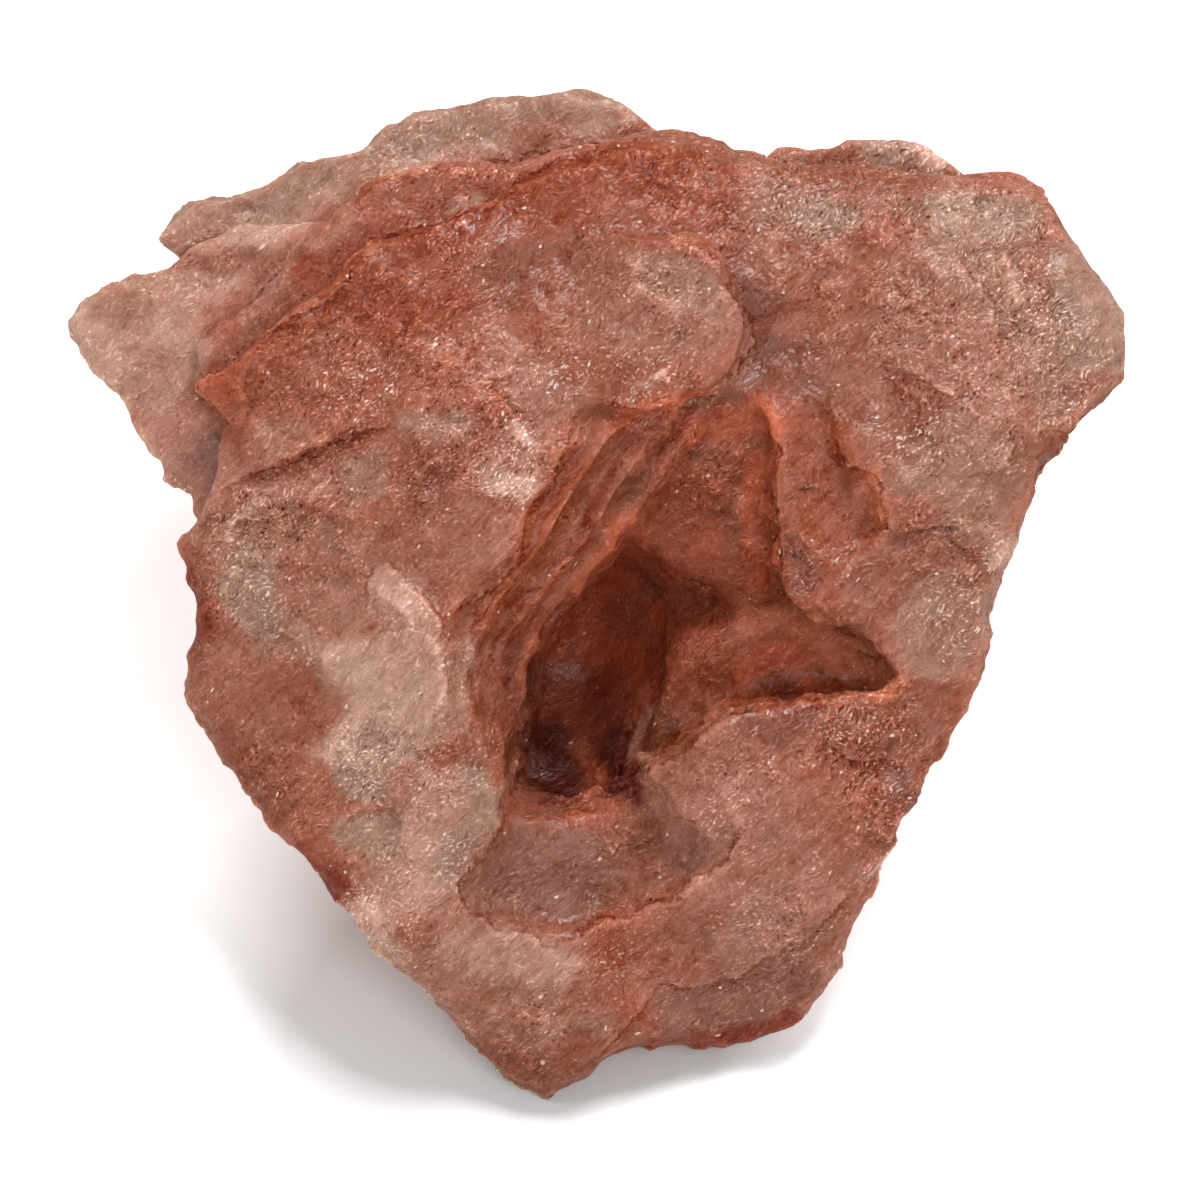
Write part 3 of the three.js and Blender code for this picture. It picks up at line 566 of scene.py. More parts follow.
# %% Coats, in their order
# name, stain, brush radius in millimetres, the line's points across and up the face
COATS = [
    ("rear sheet", "ash", 4.5, [(-23, 20), (-14, 24.5), (-4, 28), (4, 28)]),
    ("rear sheet, warm foot", "milk", 0.8, [(-19, 20.4), (-15.5, 22), (-12, 24), (-8, 25.2), (-4.6, 25.4)]),
    ("rear sheet tip", "ash", 1.5, [(-25, 20.4), (-22.5, 21.8)]),
    ("rear sheet, top veil", "ash", 0.9, [(-9.5, 27.3), (-6, 27)]),
    ("rear sheet, stain", "rose", 0.7, [(-4.6, 26.2), (-3, 26.7), (-1.6, 26.7)]),
    ("rear sheet, right end", "milk", 1.0, [(-0.5, 26.2), (1.5, 27)]),
    ("left slab", "cream", 3.4, [(-28, 14), (-22, 18)]),
    ("left slab, specks", "sand", 1.3, [(-27.5, 15.9), (-25.4, 16.7)]),
    ("left slab, stain", "rose", 0.7, [(-23.2, 19), (-20, 19.4)]),
    ("left slab tip", "milk", 1.1, [(-29.6, 16), (-28.3, 13.5), (-27, 11.5)]),
    ("left slab, pale foot", "milk", 1.0, [(-25.8, 9.4), (-24, 7.6)]),
    ("left slab, veil", "milk", 0.8, [(-24, 15), (-23, 14)]),
    ("warm band", "buff", 2.3, [(-23.5, 11), (-21.6, 7)]),
    ("warm band, upper", "cream", 1.0, [(-24.6, 11.4), (-21.5, 15)]),
    ("red layer", "clay", 1.7, [(-20.3, 15.2), (-16.5, 19.2), (-12.5, 21.8), (-8, 23.4), (-4.8, 23.8)]),
    ("red layer, light", "buff", 0.8, [(-19.5, 16), (-15.8, 19.6), (-13.5, 20.4)]),
    ("red layer, right", "dusk", 1.3, [(-4, 24.8), (0, 25), (4, 25.6), (9, 24.2)]),
    ("front layer", "clay", 4.2, [(-17, 11), (-8, 16), (1, 20)]),
    ("front layer, top", "brick", 1.6, [(-15, 18), (-10, 20.2), (-5, 21.6), (1, 22.4), (8, 22.6)]),
    ("front layer, top edge", "brick", 0.9, [(-4, 23.4), (0, 24.2), (5, 24.4)]),
    ("front layer, warm", "clay", 0.9, [(0.4, 21.6), (2.4, 21), (5, 20.2), (7.4, 19.6)]),
    ("front layer, edge", "copper", 1.1, [(-21.6, 11.4), (-19.4, 12.8), (-16.5, 15.2), (-13, 17)]),
    ("front layer, corner", "terracotta", 0.7, [(-21.4, 12), (-20.3, 9.4)]),
    ("front layer, crumbs", "clay", 1.7, [(-18, 10.6), (-14, 12.6), (-8, 13)]),
    ("front layer, middle", "brick", 1.3, [(-12, 15.6), (-8, 16.4)]),
    ("front layer, small patch", "clay", 0.5, [(-12.8, 19), (-11, 19.6)]),
    ("pale chip", "cream", 0.4, [(-8.2, 21.6), (-6.6, 22.2)]),
    ("front layer, right", "brown", 1.8, [(-5, 18), (1, 18.6)]),
    ("front layer, pale foot", "buff", 1.5, [(-4.5, 12.6), (-2.5, 11)]),
    ("pale ledge", "rose", 0.8, [(-18.6, 8.6), (-16.8, 9)]),
    ("pale ledge, right", "cream", 0.7, [(-10.6, 9.4), (-8, 9.8)]),
    ("under the ledge", "sand", 1.0, [(-13.8, 6.2), (-12.4, 6.8)]),
    ("under the ledge, left", "buff", 0.9, [(-19, 6), (-16, 6.3)]),
    ("red middle", "brown", 1.5, [(-9.4, 8), (-9, 5.8)]),
    ("milky corner", "buff", 1.3, [(-5.2, 7), (-4.4, 8.6)]),
    # painted highlight
    ("milky corner, glint", "milk", 0.6, [(-5.6, 6.4), (-4.2, 6)]),
    ("smooth middle", "dusk", 2.0, [(-10, 3), (-6.5, 3.6)]),
    ("smooth middle, edge", "buff", 0.7, [(-6.4, 2.6), (-4.6, 3.8)]),
    # painted highlight
    ("left glint", "cream", 0.35, [(-20.9, 3.5), (-18.8, 5.2)]),
    ("crumbly step", "rose", 1.3, [(-21.5, 4.2), (-17, 3.6), (-13.6, 3.2)]),
    ("grey side", "ash", 1.7, [(-19.6, 1.4), (-18.4, -1.2)]),
    ("grey side, lower", "sand", 1.2, [(-17, -2.2), (-14.6, -4)]),
    ("left rim", "rust", 1.3, [(-22.8, 1), (-22.6, -2.4)]),
    ("left rim, lower", "dusk", 2.6, [(-21, -5), (-19.4, -7)]),
    ("lower left rim", "brown", 1.4, [(-20.6, -8.4), (-17.6, -11)]),
    ("rosy side", "rose", 1.3, [(-15.5, 0.6), (-13.5, -1.2)]),
    ("below the rosy side", "milk", 1.4, [(-13.8, -3.4), (-11.8, -4)]),
    ("flap", "cream", 1.5, [(-11.6, 0.8), (-10.2, -1.6), (-9.8, -4.2)]),
    # painted highlight along the flap
    ("flap, bright", "cream", 0.45, [(-12.2, 0.7), (-10.8, -1), (-9.4, -2.6)]),
    ("below the flap", "milk", 2.0, [(-10.4, -6), (-12.4, -8)]),
    ("pale streak", "milk", 0.85, [(-15, -8.6), (-13.6, -6.6), (-12, -5.3)]),
    ("beside the streak", "ash", 1.0, [(-12, -7.6), (-11, -8.4)]),
    ("crumbs", "ash", 0.9, [(-13.8, -9.6), (-12.4, -10.4)]),
    ("cracks below the flap", "sand", 0.35, [(-10.2, -8), (-9.2, -10), (-8, -9.4)]),
    ("lower left face", "cream", 2.4, [(-9, -12), (-11, -15.5)]),
    ("lower left face, grey", "ash", 1.2, [(-13.4, -13), (-12, -13.2)]),
    ("left of the pit", "ash", 1.1, [(-6.6, -9.6), (-7, -12.4), (-8.4, -14.6)]),
    ("brick corner", "rust", 0.75, [(-16.4, -14.2), (-14.9, -15.6)]),
    ("pale chips", "milk", 0.4, [(-13.6, -16.9), (-12, -17.8)]),
    ("lower rim", "milk", 0.9, [(-13, -18.8), (-9.4, -22)]),
    ("bottom face", "rose", 3.6, [(-8, -21), (-3, -24)]),
    ("bottom face, pale", "cream", 1.4, [(-7.4, -18.8), (-3, -20.4)]),
    ("bottom tip", "brown", 1.3, [(-6.6, -25.4), (-3, -27.2), (-1, -25.4)]),
    ("rim step", "dun", 2.5, [(-5.6, -15.8), (-1.4, -15.4)]),
    ("rim step, upper edge", "dun", 0.8, [(-4.6, -12.9), (-1.6, -12.9)]),
    ("front right", "buff", 4.4, [(6, -12), (9, -17)]),
    ("rim step, red end", "dusk", 1.0, [(2.4, -16.2), (4.4, -15.4)]),
    ("red dent", "brown", 0.9, [(2.2, -12.4), (1.8, -14)]),
    ("front right, upper patch", "dusk", 1.3, [(4.6, -9.6), (7.4, -8)]),
    ("front right, top", "umber", 1.4, [(9, -6.4), (12, -6.6)]),
    ("front right, middle", "rose", 1.0, [(7.8, -14.4), (9.8, -15)]),
    ("front right, stain", "dusk", 1.0, [(4.4, -18.4), (6.2, -18.4)]),
    ("orange root", "copper", 1.3, [(0.4, -18.8), (1.2, -21.6)]),
    ("right foot", "dun", 2.0, [(5, -23), (11, -22)]),
    ("right foot, rim", "rust", 0.9, [(2, -25.4), (6, -24.9), (11, -24)]),
    ("right rim", "rose", 1.0, [(14.4, -15), (12.4, -20)]),
    ("right low", "brown", 1.9, [(14.4, -7), (17.6, -8)]),
    ("right low, bump", "umber", 1.0, [(16.6, -10.4), (17.4, -11)]),
    ("right low, chips", "brown", 0.7, [(15.4, -13), (16.4, -14.4)]),
    ("upper right", "sand", 4.4, [(13, 21), (20, 19)]),
    ("upper right, middle", "dusk", 2.6, [(11, 18.6), (13, 20.6)]),
    ("upper right, dark top", "brown", 1.1, [(10.6, 23.8), (14, 23.8), (18.6, 23)]),
    ("upper right, rim", "ash", 0.8, [(15, 25.4), (19.4, 25)]),
    ("upper right, milky", "ash", 1.0, [(11.6, 21.4), (13.4, 21.6)]),
    ("upper right, rust", "clay", 1.7, [(11.4, 15.4), (14, 17), (15.6, 19.6)]),
    # painted shadow: these dark coats paint the shadow the tongue casts beside and below it
    ("behind the tongue", "umber", 1.0, [(7.4, 17.8), (8.8, 16), (9.4, 13.6), (8, 11.6)]),
    ("below the tongue", "umber", 1.4, [(9, 13), (12.6, 12.6)]),
    ("tongue", "rose", 3.0, [(2, 16), (5.4, 14.4)]),
    ("tongue, veil", "sand", 1.3, [(3.4, 17.8), (5.6, 17.2)]),
    ("tongue, foot", "clay", 0.9, [(1.6, 12.2), (4.4, 12), (7, 13.6)]),
    ("lobe", "rose", 4.6, [(17, 12), (23, 12)]),
    ("lobe, warm", "rose", 1.8, [(16.8, 17.6), (19.4, 14.4)]),
    ("lobe, band", "sand", 1.1, [(20.8, 18.6), (23.6, 14.6), (25, 12)]),
    ("lobe, rusty foot", "brown", 1.0, [(14.4, 13.6), (16.6, 11.4), (18.6, 9.6)]),
    ("lobe, pale top", "ash", 1.5, [(19.4, 21.2), (23, 21)]),
    ("lobe, milky end", "ash", 2.1, [(27, 18.4), (27.2, 14.6)]),
    ("lobe, pale rim", "ash", 0.8, [(28.6, 17.4), (28.4, 13.4)]),
    ("lobe, red rim", "chestnut", 0.8, [(29, 11.2), (26.6, 9.4), (24.6, 7.8)]),
    ("lobe, lowest foot", "dusk", 1.1, [(14.6, 9.2), (15.6, 8.2)]),
    ("right side", "sand", 2.4, [(20, 8), (21, 5), (19, -1.5)]),
    ("right side, chips", "sand", 0.7, [(16.6, 6.8), (18, 7)]),
    ("right side, red", "dusk", 1.4, [(17, 2.2), (20.2, 2.2)]),
    # painted highlight
    ("right side, flash", "ash", 0.6, [(22, 2), (22.9, 3)]),
    ("right side, veil", "sand", 1.2, [(18.6, -2.6), (20.4, -1.4)]),
    ("shelf", "brown", 3.2, [(2.5, 8), (7.2, 6)]),
    ("shelf, light top", "orange", 1.3, [(0, 8.6), (4, 9.6), (8.6, 10)]),
    ("shelf, right patch", "copper", 0.9, [(7.4, 8.2), (8.6, 8)]),
    ("shelf, foot", "clay", 1.6, [(6, 3), (8.6, 2)]),
    # the slats' dark coats are partly their own brick colour, partly painted shade of the hollow's wall
    ("slats", "copper", 1.7, [(-1, 7.8), (-3.2, 3), (-5.4, -2)]),
    ("slats, thin line", "rust", 0.4, [(1, 6.6), (-1.8, 3), (-4.4, 0)]),
    ("slats, lower", "brown", 1.2, [(-7, -3), (-6, -6), (-6.4, -8)]),
    ("slats, pale face", "sand", 0.5, [(-7.9, -2.4), (-7.9, -7)]),
    ("third slat", "umber", 0.7, [(-4.8, -3.4), (-4.4, -7)]),
    ("orange shelf", "copper", 2.0, [(11.6, 8.4), (12.4, 4.8), (13, 2.6)]),
    ("orange shelf, right edge", "peach", 0.7, [(14.4, 6.4), (15.2, 4.6)]),
    ("orange shelf, left foot", "umber", 0.8, [(10.6, 3.2), (11.2, 0.8)]),
    ("orange shelf, right foot", "dusk", 0.9, [(14.2, 2), (15, 0)]),
    ("alcove", "copper", 3.2, [(6, -2.6), (11, -2.6)]),
    # painted light: the peach coats under the alcove's roof lift the shade the roof casts
    ("alcove, light", "peach", 0.9, [(8.6, -1), (12, -1)]),
    ("alcove tip", "peach", 0.9, [(14.6, -3), (16, -4.4)]),
    ("pit, top", "orange", 1.2, [(2, 3.4), (0.4, 1.2), (-2.6, -2.4)]),
    ("pit", "terracotta", 3.1, [(0.6, -3.4), (-1.4, -8.6)]),
    ("pit, right wall", "orange", 0.8, [(3.6, -1.6), (3.4, -5)]),
    ("slats, top", "clay", 0.8, [(-0.6, 9), (2, 8)]),
    ("shelf, top left", "terracotta", 1.1, [(2.4, 9), (3.8, 8)]),
    ("shelf, middle", "terracotta", 1.2, [(4.5, 6.5), (6, 6)]),
    ("shelf, right edge", "orange", 0.7, [(8.7, 7.5), (9, 4), (9, 1.6)]),
    ("shelf, lower", "terracotta", 1.1, [(3.6, 4.8), (6, 3.2)]),
    ("beside the pit", "terracotta", 0.8, [(3.8, 3), (5.6, 1.2)]),
    ("alcove, left", "copper", 1.1, [(5.8, -1), (6.4, -4)]),
    ("alcove, middle", "orange", 1.1, [(9, -3.6), (11.5, -3.6)]),
    # painted light under the alcove's roof
    ("alcove, under the roof", "peach", 0.8, [(10.4, -1.2), (14, -2.8)]),
    ("pit, middle", "orange", 1.2, [(0, -2.4), (1.6, -3.4)]),
    ("pit, lower left", "wine", 1.2, [(-3, -8), (-2.4, -10.6)]),
    ("pit, lower right", "wine", 1.0, [(1.4, -7.6), (1.2, -10.4)]),
    ("septum", "buff", 0.35, [(2.8, -6.6), (2.5, -9)]),
    ("pit, right of the septum", "chestnut", 0.8, [(4, -7.4), (3.6, -8.6)]),
    # painted glints: thin bright streaks of painted highlight
    ("flap, streak", "painted_glint_white", 0.28, [(-12.3, 0.8), (-11, -0.9)]),
    ("flap, middle streak", "painted_glint_white", 0.2, [(-11.6, 0.9), (-9.8, -1.2)]),
    ("flap, lower streak", "painted_glint_white", 0.22, [(-10.6, -0.6), (-9.2, -2.6)]),
    ("left glint, bright", "painted_glint_white", 0.26, [(-20.9, 3.4), (-19.4, 4.7)]),
    ("streak, bright", "painted_glint_white", 0.3, [(-15.2, -8.8), (-13.9, -6.9), (-12.6, -5.6)]),
    ("corner glint", "painted_glint_white", 0.3, [(-5.5, 6.3), (-4.4, 6.9)]),
    ("corner glint, upper", "painted_glint_white", 0.22, [(-4.6, 9.4), (-3.9, 8.9)]),
    ("rim glint", "painted_glint_white", 0.35, [(-14.6, -16.9), (-13, -17.6)]),
    ("flank glint", "painted_glint_white", 0.35, [(22, 2), (22.8, 2.8)]),
    ("low glint", "painted_glint_white", 0.3, [(15.6, -14.9), (16.4, -14.5)]),
    ("top glint", "painted_glint_white", 0.25, [(17.4, 24.9), (19, 24.6)]),
    ("tongue glint", "painted_glint_white", 0.2, [(2.2, 11.4), (3.8, 12.2)]),
    ("lobe streak", "painted_glint_white", 0.2, [(22.6, 18.4), (23.6, 16.4)]),
]
print(len(COATS), "coats")

# %% Brush the coats on
CRISPNESS = 7
SMUDGE = 0.9


def linear(colour):
    """An sRGB hex colour as the linear values that Blender works in."""
    parts = [int(colour[i : i + 2], 16) / 255 for i in (1, 3, 5)]
    return [p / 12.92 if p <= 0.04045 else ((p + 0.055) / 1.055) ** 2.4 for p in parts]


def stained(places):
    """The linear colour at each place, after every coat in its order."""
    colours = np.tile(linear(STAINS["clay"]), (len(places), 1))
    for _, stain, radius, line in COATS:
        away = np.abs(along_line(places[:, :2], line)[0]) / radius
        cover = 1 / (1 + away**CRISPNESS)
        colours += cover[:, None] * (np.array(linear(STAINS[stain])) - colours)
    return colours


places = on_face(points)
tint = np.ones((len(places), 4))
tint[:, :3] = stained(places + SMUDGE * wander[source])
stone.data.attributes.new("tint", "FLOAT_COLOR", "POINT").data.foreach_set("color", tint.ravel())
print("mean colour, linear:", tint.mean(0).round(3)[:3])

# %% [markdown]
# ## Cloudy beryl
#
# Morganite is beryl: a glassy silicate with a refractive index of 1.58, hard, and here full of tiny healed
# cracks that scatter light. So light sinks in a millimetre or two, the red deepest, and comes out soft.
# A little of it passes straight through, and the body swallows some on the way. One Principled shader and
# one absorbing volume give all of this, and noises in object coordinates give the patterns, so that they run
# through the stone.
# The patterns are set in millimetres: clouds of 2.2, mottling of 0.75, crumbs of 0.36, flakes of 0.3 and
# specks of 0.15. The finest real specks are smaller still, and are drawn this coarse so that they show.

# %% A helper for nodes
morganite = bpy.data.materials.new("rough_cloudy_morganite")
morganite.use_nodes = True
tree = morganite.node_tree
tree.nodes.clear()


def add(kind, inputs=(), **settings):
    """
    Adds one shader node to the current tree. Settings are its properties. Inputs are values or what is linked
    to its sockets, in the sockets' order or by their name or number. A node stands for its first output.
    """
    made = tree.nodes.new("ShaderNode" + kind)
    for name, value in settings.items():
        setattr(made, name, value)
    numbered = inputs if isinstance(inputs, dict) else dict(enumerate(inputs))
    for socket, value in numbered.items():
        if isinstance(value, bpy.types.Node):
            value = value.outputs[0]
        if isinstance(value, bpy.types.NodeSocket):
            tree.links.new(value, made.inputs[socket])
        else:
            made.inputs[socket].default_value = value
    return made


print("the material is", morganite.name)

# %% Coordinates in millimetres, level with the face
# A Map Range node reads as [value, from low, from high, to low, to high], and stops at both ends.
room = add("TexCoord").outputs["Object"]
level = add("Mapping", {"Vector": room, "Scale": (1 / MM, 1 / MM, 1 / MM), "Rotation": (-LEAN, 0, 0)})
sway = add("TexNoise", {"Vector": level, "Scale": 1 / 1.4, "Detail": 1.0}).outputs["Color"]
sway = add("VectorMath", [sway, (0.5, 0.5, 0.5)], operation="SUBTRACT")
swayed = add("VectorMath", [level, sway], operation="ADD")
slanted = add(
    "Mapping",
    {"Vector": swayed, "Rotation": (0, 0, math.radians(38)), "Scale": (1.5, 0.9, 1.2)},
    vector_type="TEXTURE",
)
print(len(tree.nodes), "nodes for the coordinates")

# %% What was kept on the mesh
tint_in = add("VertexColor", layer_name="tint")
ridge_in = add("Attribute", attribute_name="ridge").outputs["Fac"]
crumbly_in = add("Attribute", attribute_name="crumbly").outputs["Fac"]
glinting_in = add("Attribute", attribute_name="glinting").outputs["Fac"]
streaked_in = add("Attribute", attribute_name="streaked").outputs["Fac"]
ledge_gap_in = add("Attribute", attribute_name="ledge_gap").outputs["Fac"]
ledge_share_in = add("Attribute", attribute_name="ledge_share").outputs["Fac"]
print(len(tree.nodes), "nodes with what was kept")

# %% [markdown]
# ### Veils, and painted light and shade
#
# Inside a cloudy crystal there are milky veils, healed cracks and fine fibres. They hardly ever
# change the hue: a veil makes the stone paler or darker, whatever its stain.
# So every layer adds to one number, the veil, from the widest clouds down to single specks, and the veil is
# laid over the stain once at the end. Some of its layers are painted light and shade, not veils: a highlight
# on ledge lips, shadow in and under ledge cracks, light on thin ridges, shade in creases, and glints and pit
# shade in the specks.

# %% Clouds, mottling, grain and streaks
clouds = add("TexNoise", {"Vector": swayed, "Scale": 1 / 2.2, "Detail": 2.0, "Roughness": 0.6})
mottling = add("TexNoise", {"Vector": slanted, "Scale": 1 / 0.75, "Detail": 2.0, "Roughness": 0.7})
along_grain = add(
    "Mapping",
    {"Vector": level, "Rotation": (0, 0, math.radians(42)), "Scale": (3.2, 0.34, 1.0)},
    vector_type="TEXTURE",
)
grain = add("TexNoise", {"Vector": along_grain, "Scale": 1.0, "Detail": 2.5, "Roughness": 0.6})
along_streaks = add(
    "Mapping",
    {"Vector": swayed, "Rotation": (0, 0, math.radians(48)), "Scale": (2.6, 0.2, 1.0)},
    vector_type="TEXTURE",
)
streaks = add("TexNoise", {"Vector": along_streaks, "Scale": 1.0, "Detail": 1.5, "Roughness": 0.5})
streak_zone = add("MapRange", [clouds, 0.4, 0.55, 0.3, 1.0])
streak_zone = add("Math", [streaked_in, streak_zone], operation="MULTIPLY")
print(len(tree.nodes), "nodes with the wide patterns")

# %% Crumbs and specks, and where the skin is etched
crumbs = add("TexNoise", {"Vector": swayed, "Scale": 1 / 0.36, "Detail": 2.0, "Roughness": 0.6})
specks = add("TexNoise", {"Vector": slanted, "Scale": 1 / 0.15, "Detail": 1.0, "Roughness": 0.5})
where = add("Math", [mottling, 2.6, crumbly_in], operation="MULTIPLY_ADD")
etched = add("MapRange", [where, 1.5, 2.1, 0.35, 1.0])
print(len(tree.nodes), "nodes with the fine patterns")

# %% Ledges: a painted highlight on the lip, and a painted shadow line in the crack under it
crumbs_sway = add("Math", [crumbs, 0.5], operation="SUBTRACT")
ragged_gap = add("Math", [crumbs_sway, 0.7, ledge_gap_in], operation="MULTIPLY_ADD")
broken_up = add(
    "Math", [ledge_share_in, add("MapRange", [mottling, 0.35, 0.55, 0.25, 1.0])], operation="MULTIPLY"
)
# painted shade under the ledge, and the distances to its painted lip highlight and painted crack shadow
low_side = add("Math", [ragged_gap, 0.0], operation="LESS_THAN")
under = add("Math", [add("MapRange", [ragged_gap, -1.6, -0.1]), low_side], operation="MULTIPLY")
from_lit_lip = add("Math", [add("Math", [ragged_gap, 0.16], operation="SUBTRACT")], operation="ABSOLUTE")
from_shaded_crack = add("Math", [add("Math", [ragged_gap, 0.1], operation="ADD")], operation="ABSOLUTE")
print(len(tree.nodes), "nodes with the ledges")

# %% All the veils, and the painted light and shade, in one sum
# amount, where it shows (None is all over), strength: above zero is paler, below zero darker
VEILS_AND_PAINTED_SHADING = [
    (add("Math", [clouds, 0.5], operation="SUBTRACT"), None, 0.2),
    (add("Math", [grain, 0.5], operation="SUBTRACT"), None, 0.22),
    (add("Math", [mottling, 0.5], operation="SUBTRACT"), None, 0.3),
    (add("Math", [streaks, 0.5], operation="SUBTRACT"), streak_zone, 0.45),
    # dark specks are painted shade in tiny etch pits, and bright specks are painted glints
    (add("MapRange", [specks, 0.41, 0.28]), etched, -0.3),
    (add("MapRange", [specks, 0.59, 0.72]), etched, 0.55),
    # painted shade under each ledge, a painted highlight on its lip, and a painted shadow line in its crack
    (under, ledge_share_in, -0.05),
    (add("MapRange", [from_lit_lip, 0.2, 0.05]), broken_up, 0.1),
    (add("MapRange", [from_shaded_crack, 0.13, 0.05]), broken_up, -0.13),
    # painted light on thin ridges, and painted shade in creases
    (add("MapRange", [ridge_in, 0.35, 1.0]), None, 0.05),
    (add("MapRange", [ridge_in, -0.3, -1.0]), None, -0.03),
]
# the veil: the sum of the veils and of the painted light and shade
veil = 0.0
for amount, shown, strength in VEILS_AND_PAINTED_SHADING:
    if shown is not None:
        amount = add("Math", [amount, shown], operation="MULTIPLY")
    veil = add("Math", [amount, strength, veil], operation="MULTIPLY_ADD")
print(len(VEILS_AND_PAINTED_SHADING), "veils")

# %% The veil laid over the stain
# The square root of the stain is a paler, softer tone of it, so a veil or a painted shade in a rusty layer
# stays a little rusty. DARKEST is in linear values, and keeps the painted crack shadows from turning black.
DARKEST = (0.012, 0.006, 0.004)
VEIL_AND_SHADING_STRENGTH = 1.3
tone = add("Gamma", {"Color": tint_in, "Gamma": 0.5})
strong_veil_and_shading = add("Math", [veil, VEIL_AND_SHADING_STRENGTH], operation="MULTIPLY")
tone = add("VectorMath", {0: tone, "Scale": strong_veil_and_shading}, operation="SCALE")
veiled_and_shaded = add("VectorMath", [tint_in, tone], operation="ADD")
veiled_and_shaded = add("VectorMath", [veiled_and_shaded, DARKEST], operation="MAXIMUM")
print("the veil is laid on at", VEIL_AND_SHADING_STRENGTH)

# %% Painted glints: white flakes and specks painted into the colour as highlights
# the near-white of the painted highlights
PAINTED_GLINT_COLOUR = (*linear("#fdf0e6"), 1)
flake = add("TexVoronoi", {"Vector": slanted, "Scale": 1 / 0.3})
chance = add("SeparateColor", [flake.outputs["Color"]]).outputs["Green"]
rarity = add("MapRange", [crumbly_in, 0.0, 1.0, 0.992, 0.955])
rarity = add("Math", [glinting_in, -0.2, rarity], operation="MULTIPLY_ADD")
chosen = add("Math", [chance, rarity], operation="GREATER_THAN")
painted_flake_glints = add("MapRange", [flake.outputs["Distance"], 0.32, 0.2])
painted_flake_glints = add("Math", [painted_flake_glints, chosen], operation="MULTIPLY")
painted_flake_glints = add("Math", [painted_flake_glints, 0.6], operation="MULTIPLY")
painted_glints = add("Math", [add("MapRange", [specks, 0.6, 0.68, 0.0, 0.6]), glinting_in], operation="MULTIPLY")
with_painted_flake_glints = add("Mix", {0: painted_flake_glints, 6: veiled_and_shaded, 7: PAINTED_GLINT_COLOUR}, data_type="RGBA").outputs[2]
body = add("Mix", {0: painted_glints, 6: with_painted_flake_glints, 7: PAINTED_GLINT_COLOUR}, data_type="RGBA").outputs[2]
print(len(tree.nodes), "nodes with the glints")

# %% [markdown]
# ### Relief and gloss
#
# What is finer than the mesh is drawn as bumps. All heights are in millimetres and go through one bump node:
# crumbs, deeper where the skin is etched, over a soft mottled swell.
# The skin is glossier in the dark parts of the mottling and duller in the pale ones. The IOR is beryl's, and
# the specular level is below its usual 0.5, because an etched skin is dull.

# %% Relief finer than the mesh
crumb_depth = add("MapRange", [where, 1.6, 2.1, 0.04, 0.11])
height = add("Math", [crumbs, crumb_depth], operation="MULTIPLY")
height = add("Math", [mottling, 0.12, height], operation="MULTIPLY_ADD")
relief = add("Bump", {"Height": height, "Strength": 1.0, "Distance": MM})
print(len(tree.nodes), "nodes with the relief")

# %% The finished material
shader = add(
    "BsdfPrincipled",
    {
        "Base Color": body,
        "Roughness": add("MapRange", [mottling, 0.35, 0.65, 0.24, 0.42]),
        "Normal": relief,
        "IOR": 1.58,
        "Specular IOR Level": 0.2,
        "Transmission Weight": 0.05,
        "Subsurface Weight": 0.75,
        "Subsurface Radius": (1.0, 0.78, 0.68),
        "Subsurface Scale": 1.8 * MM,
    },
    subsurface_method="RANDOM_WALK",
)
depth = add("VolumeAbsorption", {"Color": (*linear("#ecc6b8"), 1), "Density": 120.0})
add("OutputMaterial", {"Surface": shader, "Volume": depth})
stone.data.materials.append(morganite)
bpy.context.view_layer.objects.active = stone
stone.select_set(True)
bpy.ops.object.shade_smooth()
print(len(tree.nodes), "nodes in", morganite.name)

# %% Tie the piece to the frame
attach(stone, "root")
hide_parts("morganite")
print(stone.name, "takes the place of the solid")

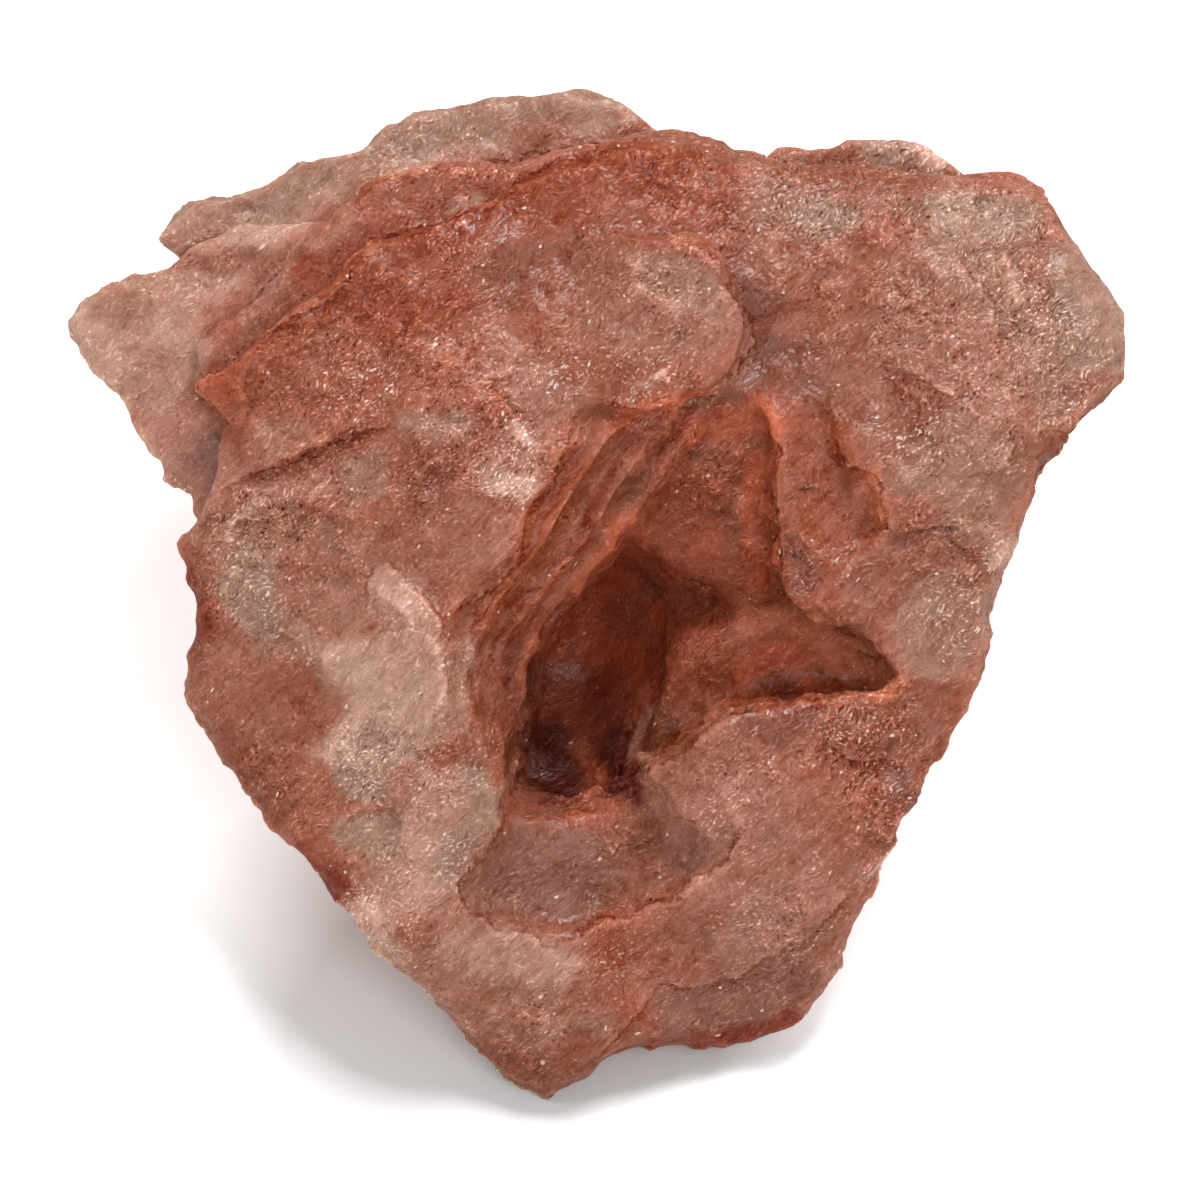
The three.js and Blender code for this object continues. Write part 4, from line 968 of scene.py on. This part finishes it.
# %% [markdown]
# ## Floor and light
#
# The stone lies on a sheet of white paper. The paper glows a little, as on a light table, except round the
# middle of the shadow under the stone's lower edge. This glow is painted light: it whitens the soft shadows
# beside the stone and leaves a shadow only under its lower edge. A glow is simpler to set than a lamp under
# the table.
# Three soft lights stand over the stone: the main one high behind, a weak one from the left that draws the
# ledges, and a wide one in front that fills the hollow. The shadow falls short and soft to the front and a
# little left. A dim white sky lights what the three leave dark.

# %% Floor
# painted light: the paper's glow, shaped round the shadow under the stone
GLOW_FROM, GLOW_TO = 12 * MM, 22 * MM
GLOW = 0.55
shadow_middle = (-5 * MM, low.y + 3 * MM, low.z)
bpy.ops.mesh.primitive_plane_add(size=3, location=(0, 0, low.z))
floor = bpy.context.object
floor.name = "white_floor"
paper = bpy.data.materials.new("matt_white_paper")
paper.use_nodes = True
tree = paper.node_tree
tree.nodes.clear()
here = add("TexCoord").outputs["Object"]
away = add("VectorMath", [here, shadow_middle], operation="DISTANCE").outputs["Value"]
glow = add("MapRange", [away, GLOW_FROM, GLOW_TO, 0.0, GLOW])
white = {"Base Color": (*linear("#fbfbfb"), 1), "Roughness": 0.9, "Emission Color": (1, 1, 1, 1)}
add("OutputMaterial", [add("BsdfPrincipled", {**white, "Emission Strength": glow})])
floor.data.materials.append(paper)
floor.visible_glossy = False
print("the paper glows from", round(GLOW_FROM / MM), "mm out from the middle of the shadow")

# %% Lights
SKY = 0.35
scene = bpy.context.scene
scene.view_settings.view_transform = "Standard"
scene.world = bpy.data.worlds.new("studio")
scene.world.use_nodes = True
sky = scene.world.node_tree.nodes["Background"]
sky.inputs["Color"].default_value = (1, 1, 1, 1)
sky.inputs["Strength"].default_value = SKY


def softbox(name, direction, distance, size, power):
    """A square area light that looks at the stone from a direction (x, y, z)."""
    place = face_middle + Vector(direction).normalized() * distance
    bpy.ops.object.light_add(type="AREA", location=place)
    light = bpy.context.object
    light.name = name
    light.data.size = size
    light.data.energy = power
    light.rotation_euler = (face_middle - place).to_track_quat("-Z", "Y").to_euler()
    print(name, "at", [round(v / MM) for v in place], "mm")


softbox("back_light", (0.22, 0.38, 1.0), 0.5, 0.16, 2.2)
softbox("left_light", (-0.8, -0.1, 0.9), 0.6, 0.08, 0.4)
softbox("front_light", (0.3, -0.7, 1.0), 0.6, 0.3, 1.0)
